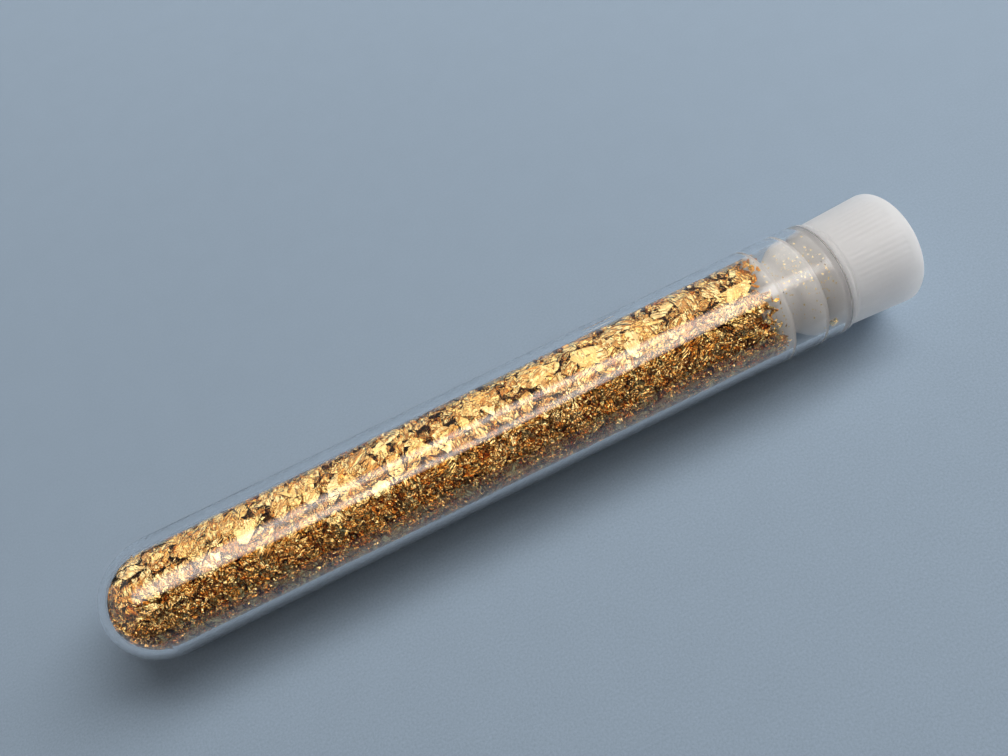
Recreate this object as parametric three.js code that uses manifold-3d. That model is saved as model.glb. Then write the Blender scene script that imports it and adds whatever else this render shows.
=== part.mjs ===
// A vial of gold flakes: a round-bottomed clear plastic tube, lying on its side, packed with crumpled
// gold leaf and closed by a push-in stopper. Millimetres. +X runs along the tube towards the stopper,
// +Z is up, and the origin is on the surface the vial lies on, under the middle of its length.
import * as THREE from "three";
import { mergeVertices } from "three/addons/utils/BufferGeometryUtils.js";
import Module from "manifold-3d";

const wasm = await Module();
wasm.setup();

// ---- Driving dimensions ----

const FACETS = 24; // sides of every turned piece; one of them is flat against the surface below
const CLEARANCE = 0.32; // gap kept between neighbouring pieces

// Stations along the tube are measured from the tip of its round bottom.
const TUBE = {
  length: 75,
  outerRadius: 5.9, // at the corners, 5.85 at the flats
  boreAtBottom: 4.8, // radii: the bore opens towards the mouth, as a moulded tube's does
  boreAtMouth: 5.08,
  bottomWall: 1.0,
  rimRound: 0.2,
  arcSteps: 7,
};

// Stations on the stopper are measured from the tube's mouth, outwards.
const STOPPER = {
  plugEnd: -8.0,
  neckRadius: 3.8,
  hollowRadiusInner: 3.15,
  hollowRadiusOuter: 2.95,
  hollowEnd: 5.9,
  fins: { tips: [-5.9, -2.4], radius: 4.7, flank: 1.9, edge: 0.2, back: 0.35 },
  shoulder: { start: -1.3, middle: -0.65, middleRadius: 4.45, end: -0.2, radius: 4.7 },
  flange: { start: 0.32, end: 0.6, radius: 5.5 },
  groove: { end: 0.8, radius: 5.38 },
  head: { start: 0.9, end: 7.0, startRadius: 5.5, endRadius: 5.8, length: 7.7, arcSteps: 4 },
  dish: { radius: 3.8, depth: 0.4 },
};

// The grip's ribs, between two smooth bands. crest is the share of the pitch that a rib's top takes.
const RIBS = { count: 64, start: 1.1, end: 6.6, depth: 0.16, crest: 0.4, coreDepth: 0.3, lap: 0.05 };

// The flakes end just short of the plug.
const BED = { end: 66.65, edge: 0.8, arcSteps: 6 };

// The largest leaves lie flat against the bore. Each has its middle's station along the tube, its turn
// about the axis in degrees (0 on top, negative towards -Y), its length and its width.
const LEAF = { thickness: 0.24, crumple: 0.08, columns: 5, rows: 4 };
const LEAVES = [
  { along: 5.6, turn: 32, length: 4.3, width: 2.4 },
  { along: 6.2, turn: -31, length: 2.7, width: 1.5 },
  { along: 12.0, turn: 30, length: 2.8, width: 2.1 },
  { along: 20.6, turn: -6, length: 2.9, width: 2.0 },
  { along: 27.5, turn: 21, length: 2.9, width: 1.9 },
  { along: 31.3, turn: -30, length: 2.1, width: 1.6 },
  { along: 38.9, turn: 14, length: 2.6, width: 2.2 },
  { along: 44.9, turn: 18, length: 3.7, width: 2.7 },
  { along: 49.4, turn: -14, length: 3.6, width: 1.9 },
  { along: 54.8, turn: 28, length: 2.7, width: 2.3 },
  { along: 63.6, turn: -14, length: 3.9, width: 2.1 },
  { along: 10.4, turn: 150, length: 3.4, width: 2.4 },
  { along: 24.0, turn: -120, length: 2.6, width: 2.2 },
  { along: 35.5, turn: 118, length: 3.3, width: 2.4 },
  { along: 47.2, turn: -152, length: 3.0, width: 2.3 },
  { along: 58.5, turn: 96, length: 3.2, width: 2.5 },
];

// One flake is caught in the groove between the plug's last fin and its shoulder.
const STRAY = { along: 73.5, turn: -84, radius: 4.42, length: 0.72, width: 0.9, thickness: 0.4 };

const VIAL_LENGTH = TUBE.length + STOPPER.head.length;
const AXIS_HEIGHT = TUBE.outerRadius * Math.cos(Math.PI / FACETS);

const FINISH = {
  clearPlastic: { color: 0xe3ebf0, roughness: 0.05, metalness: 0, transparent: true, opacity: 0.35 },
  milkyPlastic: { color: 0xdcdcda, roughness: 0.45, metalness: 0 },
  goldFlakes: { color: 0xd99a3a, roughness: 0.4, metalness: 1 },
  goldLeaf: { color: 0xf2c766, roughness: 0.3, metalness: 1 },
};

// ---- Geometry helpers ----

// Points [along, radius] on an arc about a centre on the axis, from one angle to another in degrees,
// where 0 points towards the round bottom and 90 points outwards.
function arc(centre, radius, fromDegrees, toDegrees, steps) {
  return Array.from({ length: steps + 1 }, (_, i) => {
    const angle = THREE.MathUtils.degToRad(fromDegrees + ((toDegrees - fromDegrees) * i) / steps);
    return [centre - radius * Math.cos(angle), radius * Math.sin(angle)];
  });
}

// A solid turned about X from [along, radius] points that start and end on the axis.
function turned(profile) {
  const points = profile.map(([along, radius]) => new THREE.Vector2(Math.max(radius, 0), along));
  return new THREE.LatheGeometry(points, FACETS, Math.PI / FACETS).rotateZ(-Math.PI / 2);
}

function toManifold(geometry) {
  const bare = new THREE.BufferGeometry();
  bare.setAttribute("position", geometry.getAttribute("position"));
  bare.setIndex(geometry.getIndex());
  const merged = mergeVertices(bare, 1e-3);
  return new wasm.Manifold(
    new wasm.Mesh({
      numProp: 3,
      vertProperties: merged.getAttribute("position").array,
      triVerts: new Uint32Array(merged.getIndex().array),
    }),
  );
}

function toGeometry(manifold) {
  const { vertProperties, triVerts } = manifold.getMesh();
  const geometry = new THREE.BufferGeometry();
  geometry.setAttribute("position", new THREE.BufferAttribute(vertProperties, 3));
  geometry.setIndex(new THREE.BufferAttribute(triVerts, 1));
  geometry.computeVertexNormals();
  return geometry;
}

function sub(name, geometry, finish) {
  const mesh = new THREE.Mesh(geometry, new THREE.MeshStandardMaterial(finish));
  mesh.name = name;
  return mesh;
}

// ---- The tube ----

const BORE_CENTRE = TUBE.bottomWall + TUBE.boreAtBottom; // centre of the bore's round end

// The bore's radius at a station along the tube.
function boreAt(along) {
  if (along < BORE_CENTRE) {
    return Math.sqrt(Math.max(TUBE.boreAtBottom ** 2 - (BORE_CENTRE - along) ** 2, 0));
  }
  const share = (along - BORE_CENTRE) / (TUBE.length - BORE_CENTRE);
  return THREE.MathUtils.lerp(TUBE.boreAtBottom, TUBE.boreAtMouth, share);
}

function tube() {
  const { length, outerRadius, boreAtBottom, boreAtMouth, rimRound, arcSteps } = TUBE;
  const rim = [
    [length - rimRound, outerRadius],
    [length, outerRadius - rimRound],
    [length, boreAtMouth + rimRound],
    [length - rimRound, boreAtMouth],
  ];
  return turned([
    ...arc(outerRadius, outerRadius, 0, 90, arcSteps),
    ...rim,
    ...arc(BORE_CENTRE, boreAtBottom, 90, 0, arcSteps),
  ]);
}

// ---- The stopper ----

// A fin's flank widens towards the head, up to its sealing edge, and drops back behind it.
function finProfile(tip) {
  const { radius, flank, edge, back } = STOPPER.fins;
  return [
    [tip - flank, STOPPER.neckRadius],
    [tip - edge, radius],
    [tip, radius],
    [tip + back, STOPPER.neckRadius],
  ];
}

// The head's outer radius at a station, over the ribs' crests.
function headRadius(station) {
  const { head } = STOPPER;
  return THREE.MathUtils.mapLinear(station, head.start, head.end, head.startRadius, head.endRadius);
}

function stopperBody() {
  const { plugEnd, neckRadius, fins, shoulder, flange, groove, head, dish } = STOPPER;
  const edge = head.length - head.end;
  const endRounding = arc(head.end, edge, 90, 180, head.arcSteps);
  const band = [RIBS.start + RIBS.lap, RIBS.end - RIBS.lap];
  const core = band.map((station) => [station, headRadius(station) - RIBS.coreDepth]);
  return turned([
    [plugEnd, 0],
    [plugEnd, neckRadius],
    ...fins.tips.flatMap(finProfile),
    [shoulder.start, neckRadius],
    [shoulder.middle, shoulder.middleRadius],
    [shoulder.end, shoulder.radius],
    [flange.start, shoulder.radius],
    [flange.start, flange.radius],
    [flange.end, flange.radius],
    [flange.end, groove.radius],
    [groove.end, groove.radius],
    [head.start, headRadius(head.start)],
    [band[0], headRadius(band[0])],
    ...core,
    [band[1], headRadius(band[1])],
    ...endRounding.map(([along, radius]) => [along, radius + head.endRadius - edge]),
    [head.length, dish.radius],
    [head.length - dish.depth, dish.radius],
    [head.length - dish.depth, 0],
  ]);
}

// The ribs: a toothed disc that widens towards the stopper's end.
function ribbedCrown() {
  const { count, start, end, depth, crest } = RIBS;
  const crestRadius = headRadius(start);
  const outline = new THREE.Shape();
  for (let tooth = 0; tooth < count; tooth++) {
    const corners = [
      [0, crestRadius - depth],
      [(1 - crest) / 2, crestRadius],
      [(1 + crest) / 2, crestRadius],
    ];
    for (const [share, radius] of corners) {
      const angle = ((tooth + share) / count) * 2 * Math.PI;
      const point = [radius * Math.cos(angle), radius * Math.sin(angle)];
      if (tooth === 0 && share === 0) outline.moveTo(...point);
      else outline.lineTo(...point);
    }
  }
  outline.closePath();
  const crown = new THREE.ExtrudeGeometry(outline, { depth: end - start, bevelEnabled: false });
  const corners = crown.getAttribute("position");
  for (let i = 0; i < corners.count; i++) {
    const grow = headRadius(start + corners.getZ(i)) / crestRadius;
    corners.setXY(i, corners.getX(i) * grow, corners.getY(i) * grow);
  }
  return mergeVertices(stripped(crown.rotateY(Math.PI / 2).translate(start, 0, 0)));
}

// A geometry with its positions only, so that vertices in one place can be merged.
function stripped(geometry) {
  geometry.deleteAttribute("normal");
  geometry.deleteAttribute("uv");
  return geometry;
}

function stopperHollow() {
  const { plugEnd, hollowRadiusInner, hollowRadiusOuter, hollowEnd } = STOPPER;
  return turned([
    [plugEnd - 1, 0],
    [plugEnd - 1, hollowRadiusInner],
    [hollowEnd, hollowRadiusOuter],
    [hollowEnd, 0],
  ]);
}

function stopper() {
  const solid = toManifold(stopperBody()).add(toManifold(ribbedCrown()));
  return toGeometry(solid.subtract(toManifold(stopperHollow())));
}

// ---- The gold ----

// A crumpled leaf with a ragged outline, wrapped about the tube's axis. reach widens its outline, and
// inner and outer give the radii of its two faces at a station along the tube.
function wrappedLeaf({ along, turn, length, width }, seed, reach, inner, outer) {
  const geometry = stripped(new THREE.BoxGeometry(2, 2, 1, LEAF.columns, LEAF.rows, 1));
  const corners = geometry.getAttribute("position");
  const middle = boreAt(along);
  for (let i = 0; i < corners.count; i++) {
    const [u, v, side] = [corners.getX(i), corners.getY(i), corners.getZ(i)];
    const bearing = Math.atan2(v, u);
    const ragged = 1 + 0.12 * Math.sin(3 * bearing + seed) + 0.08 * Math.sin(5 * bearing + 2 * seed);
    const x = u * Math.sqrt(1 - (v * v) / 2) * ((length / 2) * ragged + reach);
    const y = v * Math.sqrt(1 - (u * u) / 2) * ((width / 2) * ragged + reach);
    const angle = THREE.MathUtils.degToRad(turn) + y / middle;
    const ripple = LEAF.crumple * Math.sin(2.3 * x + seed) * Math.cos(2.9 * y + 2 * seed);
    const radius = side < 0 ? inner(along + x, ripple) : outer(along + x, ripple);
    corners.setXYZ(i, along + x, radius * Math.sin(angle), radius * Math.cos(angle));
  }
  return mergeVertices(geometry);
}

function leaf(place, seed) {
  const middle = (along) => boreAt(along) - CLEARANCE - LEAF.crumple - LEAF.thickness / 2;
  const inner = (along, ripple) => middle(along) + ripple - LEAF.thickness / 2;
  const outer = (along, ripple) => middle(along) + ripple + LEAF.thickness / 2;
  return wrappedLeaf(place, seed, 0, inner, outer);
}

// The hollow in the bed that a leaf lies in.
function leafRecess(place, seed) {
  const depth = 2 * CLEARANCE + 2 * LEAF.crumple + LEAF.thickness;
  const floor = (along) => boreAt(along) - depth;
  const mouth = (along) => boreAt(along) + 1;
  return wrappedLeaf(place, seed, CLEARANCE, floor, mouth);
}

function goldBed() {
  const { end, edge, arcSteps } = BED;
  const radius = boreAt(end) - CLEARANCE;
  const bed = turned([
    ...arc(BORE_CENTRE, TUBE.boreAtBottom - CLEARANCE, 0, 90, arcSteps),
    [end - edge, radius],
    [end, radius - edge],
    [end, 0],
  ]);
  const recesses = LEAVES.map((place, i) => toManifold(leafRecess(place, i)));
  return toGeometry(recesses.reduce((solid, recess) => solid.subtract(recess), toManifold(bed)));
}

// A small folded flake.
function strayFlake() {
  const { along, turn, radius, length, width, thickness } = STRAY;
  const flake = new THREE.OctahedronGeometry(0.5, 1).scale(length, width, thickness);
  return mergeVertices(stripped(flake.translate(0, 0, radius)), 1e-4)
    .rotateX(-THREE.MathUtils.degToRad(turn))
    .translate(along, 0, 0);
}

// ---- The vial, in the order that it is filled and closed ----

const vial = new THREE.Group();
vial.position.set(-VIAL_LENGTH / 2, 0, AXIS_HEIGHT);

const stopperMesh = sub("stopper", stopper(), FINISH.milkyPlastic);
stopperMesh.position.x = TUBE.length;

vial.add(sub("tube", tube(), FINISH.clearPlastic), sub("gold_bed", goldBed(), FINISH.goldFlakes));
LEAVES.forEach((place, i) => {
  const name = `leaf_${String(i + 1).padStart(2, "0")}`;
  vial.add(sub(name, leaf(place, i), FINISH.goldLeaf));
});
vial.add(stopperMesh, sub("stray_flake", strayFlake(), FINISH.goldLeaf));

const part = new THREE.Group();
part.add(vial);

export default part;
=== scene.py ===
"""Looks of a vial of gold flakes: a clear round-bottomed tube, its milky stopper and the gold inside.

Every piece is worked out in millimetres along the vial's own axis, with station 0 at the tip of the
tube's round bottom and the axis at height 0, and is then settled into the part's frame in metres.
"""

import logging
import math
import random
from dataclasses import dataclass, field
from enum import Enum
from typing import Any, Sequence

import bmesh
import bpy
import numpy as np
from mathutils import Euler, Matrix, Vector, noise


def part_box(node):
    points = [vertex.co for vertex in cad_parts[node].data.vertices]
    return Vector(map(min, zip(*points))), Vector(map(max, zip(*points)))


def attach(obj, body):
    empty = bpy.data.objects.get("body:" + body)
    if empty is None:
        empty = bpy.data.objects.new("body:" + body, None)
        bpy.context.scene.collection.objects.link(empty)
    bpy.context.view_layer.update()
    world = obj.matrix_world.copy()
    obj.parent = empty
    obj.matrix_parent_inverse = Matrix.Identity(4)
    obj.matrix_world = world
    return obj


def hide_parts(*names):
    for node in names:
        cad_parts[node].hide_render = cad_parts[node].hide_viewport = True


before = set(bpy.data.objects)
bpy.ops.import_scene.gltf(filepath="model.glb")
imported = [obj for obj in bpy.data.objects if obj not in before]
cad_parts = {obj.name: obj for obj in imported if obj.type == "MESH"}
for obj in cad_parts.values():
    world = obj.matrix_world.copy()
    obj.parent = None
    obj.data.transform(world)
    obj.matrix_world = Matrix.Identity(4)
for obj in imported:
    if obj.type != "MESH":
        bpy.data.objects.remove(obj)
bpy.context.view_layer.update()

LOG = logging.getLogger("vial")
MM = 0.001

Profile = list[tuple[float, float]]
Colour = tuple[float, float, float, float]
Vector3 = tuple[float, float, float]
Span = tuple[float, float]


# ---- Placing and turning ----


@dataclass(frozen=True)
class VialAxis:
    """Where the vial's own axis lies in the part's frame.

    Attributes:
        tip_x: X of the round bottom's tip, in metres.
        height: height of the axis above the floor, in metres.
    """

    tip_x: float
    height: float

    @classmethod
    def of_frame(cls) -> "VialAxis":
        """Reads the axis off the tube that the frame holds."""
        low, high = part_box("tube")
        return cls(tip_x=low.x, height=(low.z + high.z) / 2)

    def matrix(self) -> Matrix:
        """The change from millimetres on the vial's axis to metres in the part's frame."""
        return Matrix.Translation((self.tip_x, 0.0, self.height)) @ Matrix.Scale(MM, 4)

    def spot_of(self, place: Vector) -> tuple[float, float]:
        """Finds where a place in the part's frame lies on the vial.

        Args:
            place: the place, in metres.

        Returns:
            Its station in millimetres, and its turn in degrees, 0 on top and negative towards -Y.
        """
        turn = math.atan2(place.y, place.z - self.height)
        return (place.x - self.tip_x) / MM, math.degrees(turn)


def turn_profile(profile: Profile, steps: int) -> bmesh.types.BMesh:
    """Turns a profile about the vial's axis into a closed shell.

    Args:
        profile: (station, radius) points, in millimetres, that start and end on the axis.
        steps: number of faces round the shell.

    Returns:
        The shell, with its faces pointing outwards.
    """
    bm = bmesh.new()
    points = [bm.verts.new((station, 0.0, radius)) for station, radius in profile]
    edges = [bm.edges.new(pair) for pair in zip(points, points[1:])]
    bmesh.ops.spin(
        bm,
        geom=points + edges,
        cent=(0.0, 0.0, 0.0),
        axis=(1.0, 0.0, 0.0),
        angle=2 * math.pi,
        steps=steps,
        use_merge=True,
    )
    bmesh.ops.remove_doubles(bm, verts=bm.verts, dist=1e-4)
    bmesh.ops.recalc_face_normals(bm, faces=bm.faces)
    return bm


def arc_points(centre: float, radius: float, start: float, end: float, steps: int) -> Profile:
    """Points on an arc about a centre on the axis.

    Args:
        centre: station of the arc's centre.
        radius: the arc's radius.
        start: first angle in degrees, where 0 points towards the round bottom and 90 outwards.
        end: last angle in degrees.
        steps: number of chords.

    Returns:
        (station, radius) points.
    """
    angles = (math.radians(start + (end - start) * i / steps) for i in range(steps + 1))
    return [(centre - radius * math.cos(a), max(radius * math.sin(a), 0.0)) for a in angles]


def corner_points(middle: tuple[float, float], radius: float, start: float, end: float) -> Profile:
    """Points round a moulded corner whose centre is off the axis.

    Args:
        middle: (station, radius) of the corner's own centre.
        radius: the corner's rounding.
        start: first angle in degrees, where 0 points towards the stopper's end and 90 outwards.
        end: last angle in degrees.

    Returns:
        Five (station, radius) points.
    """
    angles = (math.radians(start + (end - start) * i / 4) for i in range(5))
    return [(middle[0] + radius * math.cos(a), middle[1] + radius * math.sin(a)) for a in angles]


def settle(bm: bmesh.types.BMesh, name: str, axis: VialAxis, sharp: float = 30.0) -> bpy.types.Object:
    """Moves a finished shape into the part's frame and makes an object of it.

    Args:
        bm: the shape, in millimetres on the vial's axis. It is freed.
        name: the object's name.
        axis: where the vial's axis lies.
        sharp: angle in degrees over which an edge stays sharp.

    Returns:
        The new object, at the origin, with its place in its mesh.
    """
    bmesh.ops.transform(bm, matrix=axis.matrix(), verts=bm.verts)
    mesh = bpy.data.meshes.new(name)
    bm.to_mesh(mesh)
    bm.free()
    mesh.shade_smooth()
    mesh.set_sharp_from_angle(angle=math.radians(sharp))
    piece = bpy.data.objects.new(name, mesh)
    bpy.context.scene.collection.objects.link(piece)
    return piece


def dress(
    piece: bpy.types.Object, finish: bpy.types.Material, slot: str, *nodes: str
) -> bpy.types.Object:
    """Gives a piece its finish and its place on the vial.

    Args:
        piece: the piece.
        finish: its material.
        slot: a material slot's name; not used.
        nodes: the frame's nodes that the piece stands for.

    Returns:
        The same piece.
    """
    piece.data.materials.append(finish)
    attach(piece, "root")
    if nodes:
        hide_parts(*nodes)
    return piece


# ---- Finishes ----

WIDE_NOISE = (0.25, 0.75)  # all but a few of a noise texture's values lie between these
MID_NOISE = (0.3, 0.7)  # and most of them between these


class NodeDesk:
    """Lays out the nodes of one tree.

    Attributes:
        tree: the node tree.
    """

    def __init__(self, tree: bpy.types.NodeTree) -> None:
        """Clears a tree and works on it from then on."""
        self.tree = tree
        tree.nodes.clear()

    def add(self, kind: str, settings: dict[str, Any] | None = None, **inputs: Any) -> bpy.types.Node:
        """Adds a node.

        Args:
            kind: the node's type, without its ShaderNode prefix.
            settings: the node's own properties.
            inputs: its sockets' values, or the sockets that feed them. A space in a socket's name is
                written as an underscore, and a number is written after one.

        Returns:
            The node.
        """
        prefix = "" if kind.startswith("Node") else "ShaderNode"
        node = self.tree.nodes.new(prefix + kind)
        for key, value in (settings or {}).items():
            setattr(node, key, value)
        for key, value in inputs.items():
            socket = node.inputs[int(key[1:])] if key[1:].isdigit() else node.inputs[key.replace("_", " ")]
            self.feed(socket, value)
        return node

    def feed(self, socket: bpy.types.NodeSocket, value: Any) -> None:
        """Links a socket to another one, or sets its value.

        Args:
            socket: the socket.
            value: the socket that feeds it, or its value.
        """
        if isinstance(value, bpy.types.NodeSocket):
            self.tree.links.new(value, socket)
        else:
            socket.default_value = value

    def maths(
        self, operation: str, first: Any, second: Any = 0.0, clamp: bool = False
    ) -> bpy.types.NodeSocket:
        """Adds a Math node.

        Args:
            operation: the node's operation.
            first: its first value or socket.
            second: its second value or socket.
            clamp: whether the result is kept between 0 and 1.

        Returns:
            The result's socket.
        """
        settings = {"operation": operation, "use_clamp": clamp}
        return self.add("Math", settings, _0=first, _1=second).outputs[0]

    def spread(
        self, value: Any, low: float, high: float, to_low: float = 0.0, to_high: float = 1.0
    ) -> bpy.types.NodeSocket:
        """Adds a Map Range node.

        Args:
            value: the value or socket that is spread.
            low: the lowest value.
            high: the highest value.
            to_low: the result at low and below.
            to_high: the result at high and above.

        Returns:
            The result's socket.
        """
        limits = {"From_Min": low, "From_Max": high, "To_Min": to_low, "To_Max": to_high}
        return self.add("MapRange", None, Value=value, **limits).outputs["Result"]

    def ramp(self, value: Any, stops: Sequence[tuple[float, Colour]]) -> bpy.types.NodeSocket:
        """Adds a Color Ramp node.

        Args:
            value: the value or socket that picks the colour.
            stops: the ramp's positions, in rising order, and colours.

        Returns:
            The colour's socket.
        """
        node = self.add("ValToRGB", None, Fac=value)
        elements = node.color_ramp.elements
        for place, _ in stops[1:-1]:
            elements.new(place)
        for element, (place, colour) in zip(elements, stops):
            element.position = place
            element.color = colour
        return node.outputs["Color"]

    def mix(self, share: Any, first: Any, second: Any, blend: str = "MIX") -> bpy.types.NodeSocket:
        """Adds a Mix Color node.

        Args:
            share: how much of the second colour is blended in.
            first: the first colour or socket.
            second: the second colour or socket.
            blend: how the second is blended in.

        Returns:
            The colour's socket.
        """
        node = self.add("MixRGB", {"blend_type": blend}, Fac=share, Color1=first, Color2=second)
        return node.outputs["Color"]

    def noise(self, place: Any, scale: Any, detail: float, roughness: float = 0.5) -> bpy.types.NodeSocket:
        """Adds a Noise Texture node.

        Args:
            place: the socket of the coordinates.
            scale: the texture's scale.
            detail: its detail.
            roughness: its roughness.

        Returns:
            The value's socket.
        """
        node = self.add("TexNoise", None, Vector=place, Scale=scale, Detail=detail, Roughness=roughness)
        return node.outputs["Fac"]

    def turn(self, place: Any, **settings: Vector3) -> bpy.types.NodeSocket:
        """Adds a Mapping node, which turns or stretches coordinates."""
        return self.add("Mapping", None, Vector=place, **settings).outputs["Vector"]

    def millimetres(self) -> bpy.types.NodeSocket:
        """The surface's own coordinates, in millimetres."""
        return self.turn(self.add("TexCoord").outputs["Object"], Scale=(1 / MM,) * 3)

    def finish(self, shader: bpy.types.Node) -> None:
        """Makes a shader the material's surface."""
        self.add("OutputMaterial", None, Surface=shader.outputs[0])


def new_group(
    name: str, inputs: dict[str, float | None], outputs: dict[str, str]
) -> tuple[bpy.types.NodeTree, NodeDesk]:
    """Starts a shader node group.

    Args:
        name: the group's name.
        inputs: its inputs' names and default values; None makes a vector without one.
        outputs: its outputs' names and socket types.

    Returns:
        The group and a desk for its nodes.
    """
    group = bpy.data.node_groups.new(name, "ShaderNodeTree")
    for label, value in inputs.items():
        kind = "NodeSocketVector" if value is None else "NodeSocketFloat"
        socket = group.interface.new_socket(name=label, in_out="INPUT", socket_type=kind)
        if value is not None:
            socket.default_value = value
    for label, kind in outputs.items():
        group.interface.new_socket(name=label, in_out="OUTPUT", socket_type=kind)
    return group, NodeDesk(group)


def new_material(name: str) -> tuple[bpy.types.Material, NodeDesk]:
    """Starts a material.

    Args:
        name: the material's name.

    Returns:
        The material and a desk for its nodes.
    """
    material = bpy.data.materials.new(name)
    material.use_nodes = True
    return material, NodeDesk(material.node_tree)


@dataclass(frozen=True)
class Facets:
    """The crushed facets and fine wrinkles of beaten leaf, and a mask of their hollows where painted shade
    goes.

    Attributes:
        spins: how fast a flake's own turn spins the pattern about X, Y and Z, in radians.
        stretch: how far the large facets are drawn out along X.
        again: the same for the small ones, over the large.
        aside: how far the small ones are turned from the large, in radians.
        slow: the slow wave's scale beside the large facets'.
        fine_height: height of the small facets beside the large ones.
        wave_height: height of the slow wave.
        hollow_shade_from: height from which a spot counts as a hollow that takes painted shade, and where it
            is fully one.
    """

    spins: Vector3 = (9.0, 14.0, 23.0)
    stretch: float = 0.45
    again: float = 0.5
    aside: Vector3 = (0.1, 0.15, 0.2)
    slow: float = 0.4
    fine_height: float = 0.45
    wave_height: float = 0.6
    hollow_shade_from: Span = (0.5, 0.85)

    def make(self) -> bpy.types.NodeTree:
        """Builds the group: straight-sided facets in two sizes over a slow wave, and a mask of the hollows
        between them for painted shade.

        Returns:
            The group.
        """
        group, desk = new_group(
            "leaf facets",
            {"Vector": None, "Scale": 1.0, "Fineness": 2.6, "Turn": 0.0},
            {"Height": "NodeSocketFloat", "Hollow": "NodeSocketFloat"},
        )
        given = desk.add("NodeGroupInput").outputs
        vector, scale = given["Vector"], given["Scale"]
        turns = {axis: desk.maths("MULTIPLY", given["Turn"], spin) for axis, spin in zip("XYZ", self.spins)}
        spin = desk.add("CombineXYZ", None, **turns).outputs["Vector"]
        turned = desk.add("VectorRotate", {"rotation_type": "EULER_XYZ"}, Vector=vector, Rotation=spin)
        drawn = desk.turn(turned.outputs["Vector"], Scale=(self.stretch, 1.0, 1.0))
        again = desk.turn(drawn, Rotation=self.aside, Scale=(self.again, 1.0, 1.0))
        fine = desk.maths("MULTIPLY", scale, given["Fineness"])
        kind = {"feature": "F1", "distance": "MANHATTAN"}
        large = desk.add("TexVoronoi", kind, Vector=drawn, Scale=scale).outputs["Distance"]
        small = desk.add("TexVoronoi", kind, Vector=again, Scale=fine).outputs["Distance"]
        wave = desk.noise(vector, desk.maths("MULTIPLY", scale, self.slow), detail=2.0)
        height = desk.maths("ADD", large, desk.maths("MULTIPLY", small, self.fine_height))
        height = desk.maths("ADD", height, desk.maths("MULTIPLY", wave, self.wave_height))
        # Mask of the creases, where the gold finishes paint shade.
        hollow = desk.maths("ADD", desk.maths("MULTIPLY", large, 0.5), desk.maths("MULTIPLY", small, 0.5))
        desk.add("NodeGroupOutput", None, Height=height, Hollow=desk.spread(hollow, *self.hollow_shade_from))
        return group


@dataclass(frozen=True)
class GoldTones:
    """The golds that a flake may have, from pale to copper.

    Attributes:
        golds: colours by tone.
        hollow: what the colour is multiplied by in a hollow: painted shade for the darker, deeper colour
            that light takes on going from fold to fold.
        mottle: how far a flake's tone strays up or down over its own surface.
    """

    golds: tuple[tuple[float, Colour], ...] = (
        (0.0, (1.0, 0.82, 0.4, 1.0)),
        (0.4, (1.0, 0.74, 0.28, 1.0)),
        (0.75, (0.98, 0.54, 0.12, 1.0)),
        (1.0, (0.68, 0.26, 0.04, 1.0)),
    )
    hollow: Colour = (0.52, 0.25, 0.09, 1.0)
    mottle: float = 0.2

    def make(self) -> bpy.types.NodeTree:
        """Builds the group, which paints shade into the hollows.

        Returns:
            The group.
        """
        group, desk = new_group(
            "gold tone",
            {"Vector": None, "Tone": 0.5, "Hollow": 0.0},
            {"Colour": "NodeSocketColor", "Mottle": "NodeSocketFloat"},
        )
        given = desk.add("NodeGroupInput").outputs
        mottle = desk.noise(given["Vector"], 1.1, detail=4.0, roughness=0.6)
        stray = desk.spread(mottle, *WIDE_NOISE, -self.mottle, self.mottle)
        golds = desk.ramp(desk.maths("ADD", given["Tone"], stray, clamp=True), self.golds)
        # Painted shade: the colour is multiplied darker where the hollow mask is high.
        colour = desk.mix(given["Hollow"], golds, self.hollow, "MULTIPLY")
        desk.add("NodeGroupOutput", None, Colour=colour, Mottle=mottle)
        return group


@dataclass(frozen=True)
class MouldingMarks:
    """The faint unevenness of moulded plastic.

    Attributes:
        broad: the flow waves' scale beside the scuffs'.
        drawn: how the scuffs are stretched across the vial.
        turned: how they are turned, in radians.
        scuffed: where the scuffs start to show, and where they show fully.
    """

    broad: float = 0.25
    drawn: Vector3 = (0.35, 2.0, 2.0)
    turned: Vector3 = (0.0, 0.5, 0.3)
    scuffed: Span = (0.55, 0.8)

    def make(self) -> bpy.types.NodeTree:
        """Builds the group: flow waves and fine scuffs.

        Returns:
            The group.
        """
        group, desk = new_group(
            "moulding marks",
            {"Vector": None, "Scale": 1.0},
            {"Waves": "NodeSocketFloat", "Scuffs": "NodeSocketFloat"},
        )
        given = desk.add("NodeGroupInput").outputs
        broad = desk.maths("MULTIPLY", given["Scale"], self.broad)
        waves = desk.noise(given["Vector"], broad, detail=2.0)
        drawn = desk.turn(given["Vector"], Scale=self.drawn, Rotation=self.turned)
        scuffs = desk.noise(drawn, given["Scale"], detail=6.0, roughness=0.7)
        desk.add("NodeGroupOutput", None, Waves=waves, Scuffs=desk.spread(scuffs, *self.scuffed))
        return group


class Effects:
    """The effects that several finishes share.

    Attributes:
        facets: the crushed facets and fine wrinkles of beaten leaf.
        tone: the golds that a flake may have.
        moulding: the faint unevenness of moulded plastic.
    """

    def __init__(self) -> None:
        """Builds the groups."""
        self.facets = Facets().make()
        self.tone = GoldTones().make()
        self.moulding = MouldingMarks().make()


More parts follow.
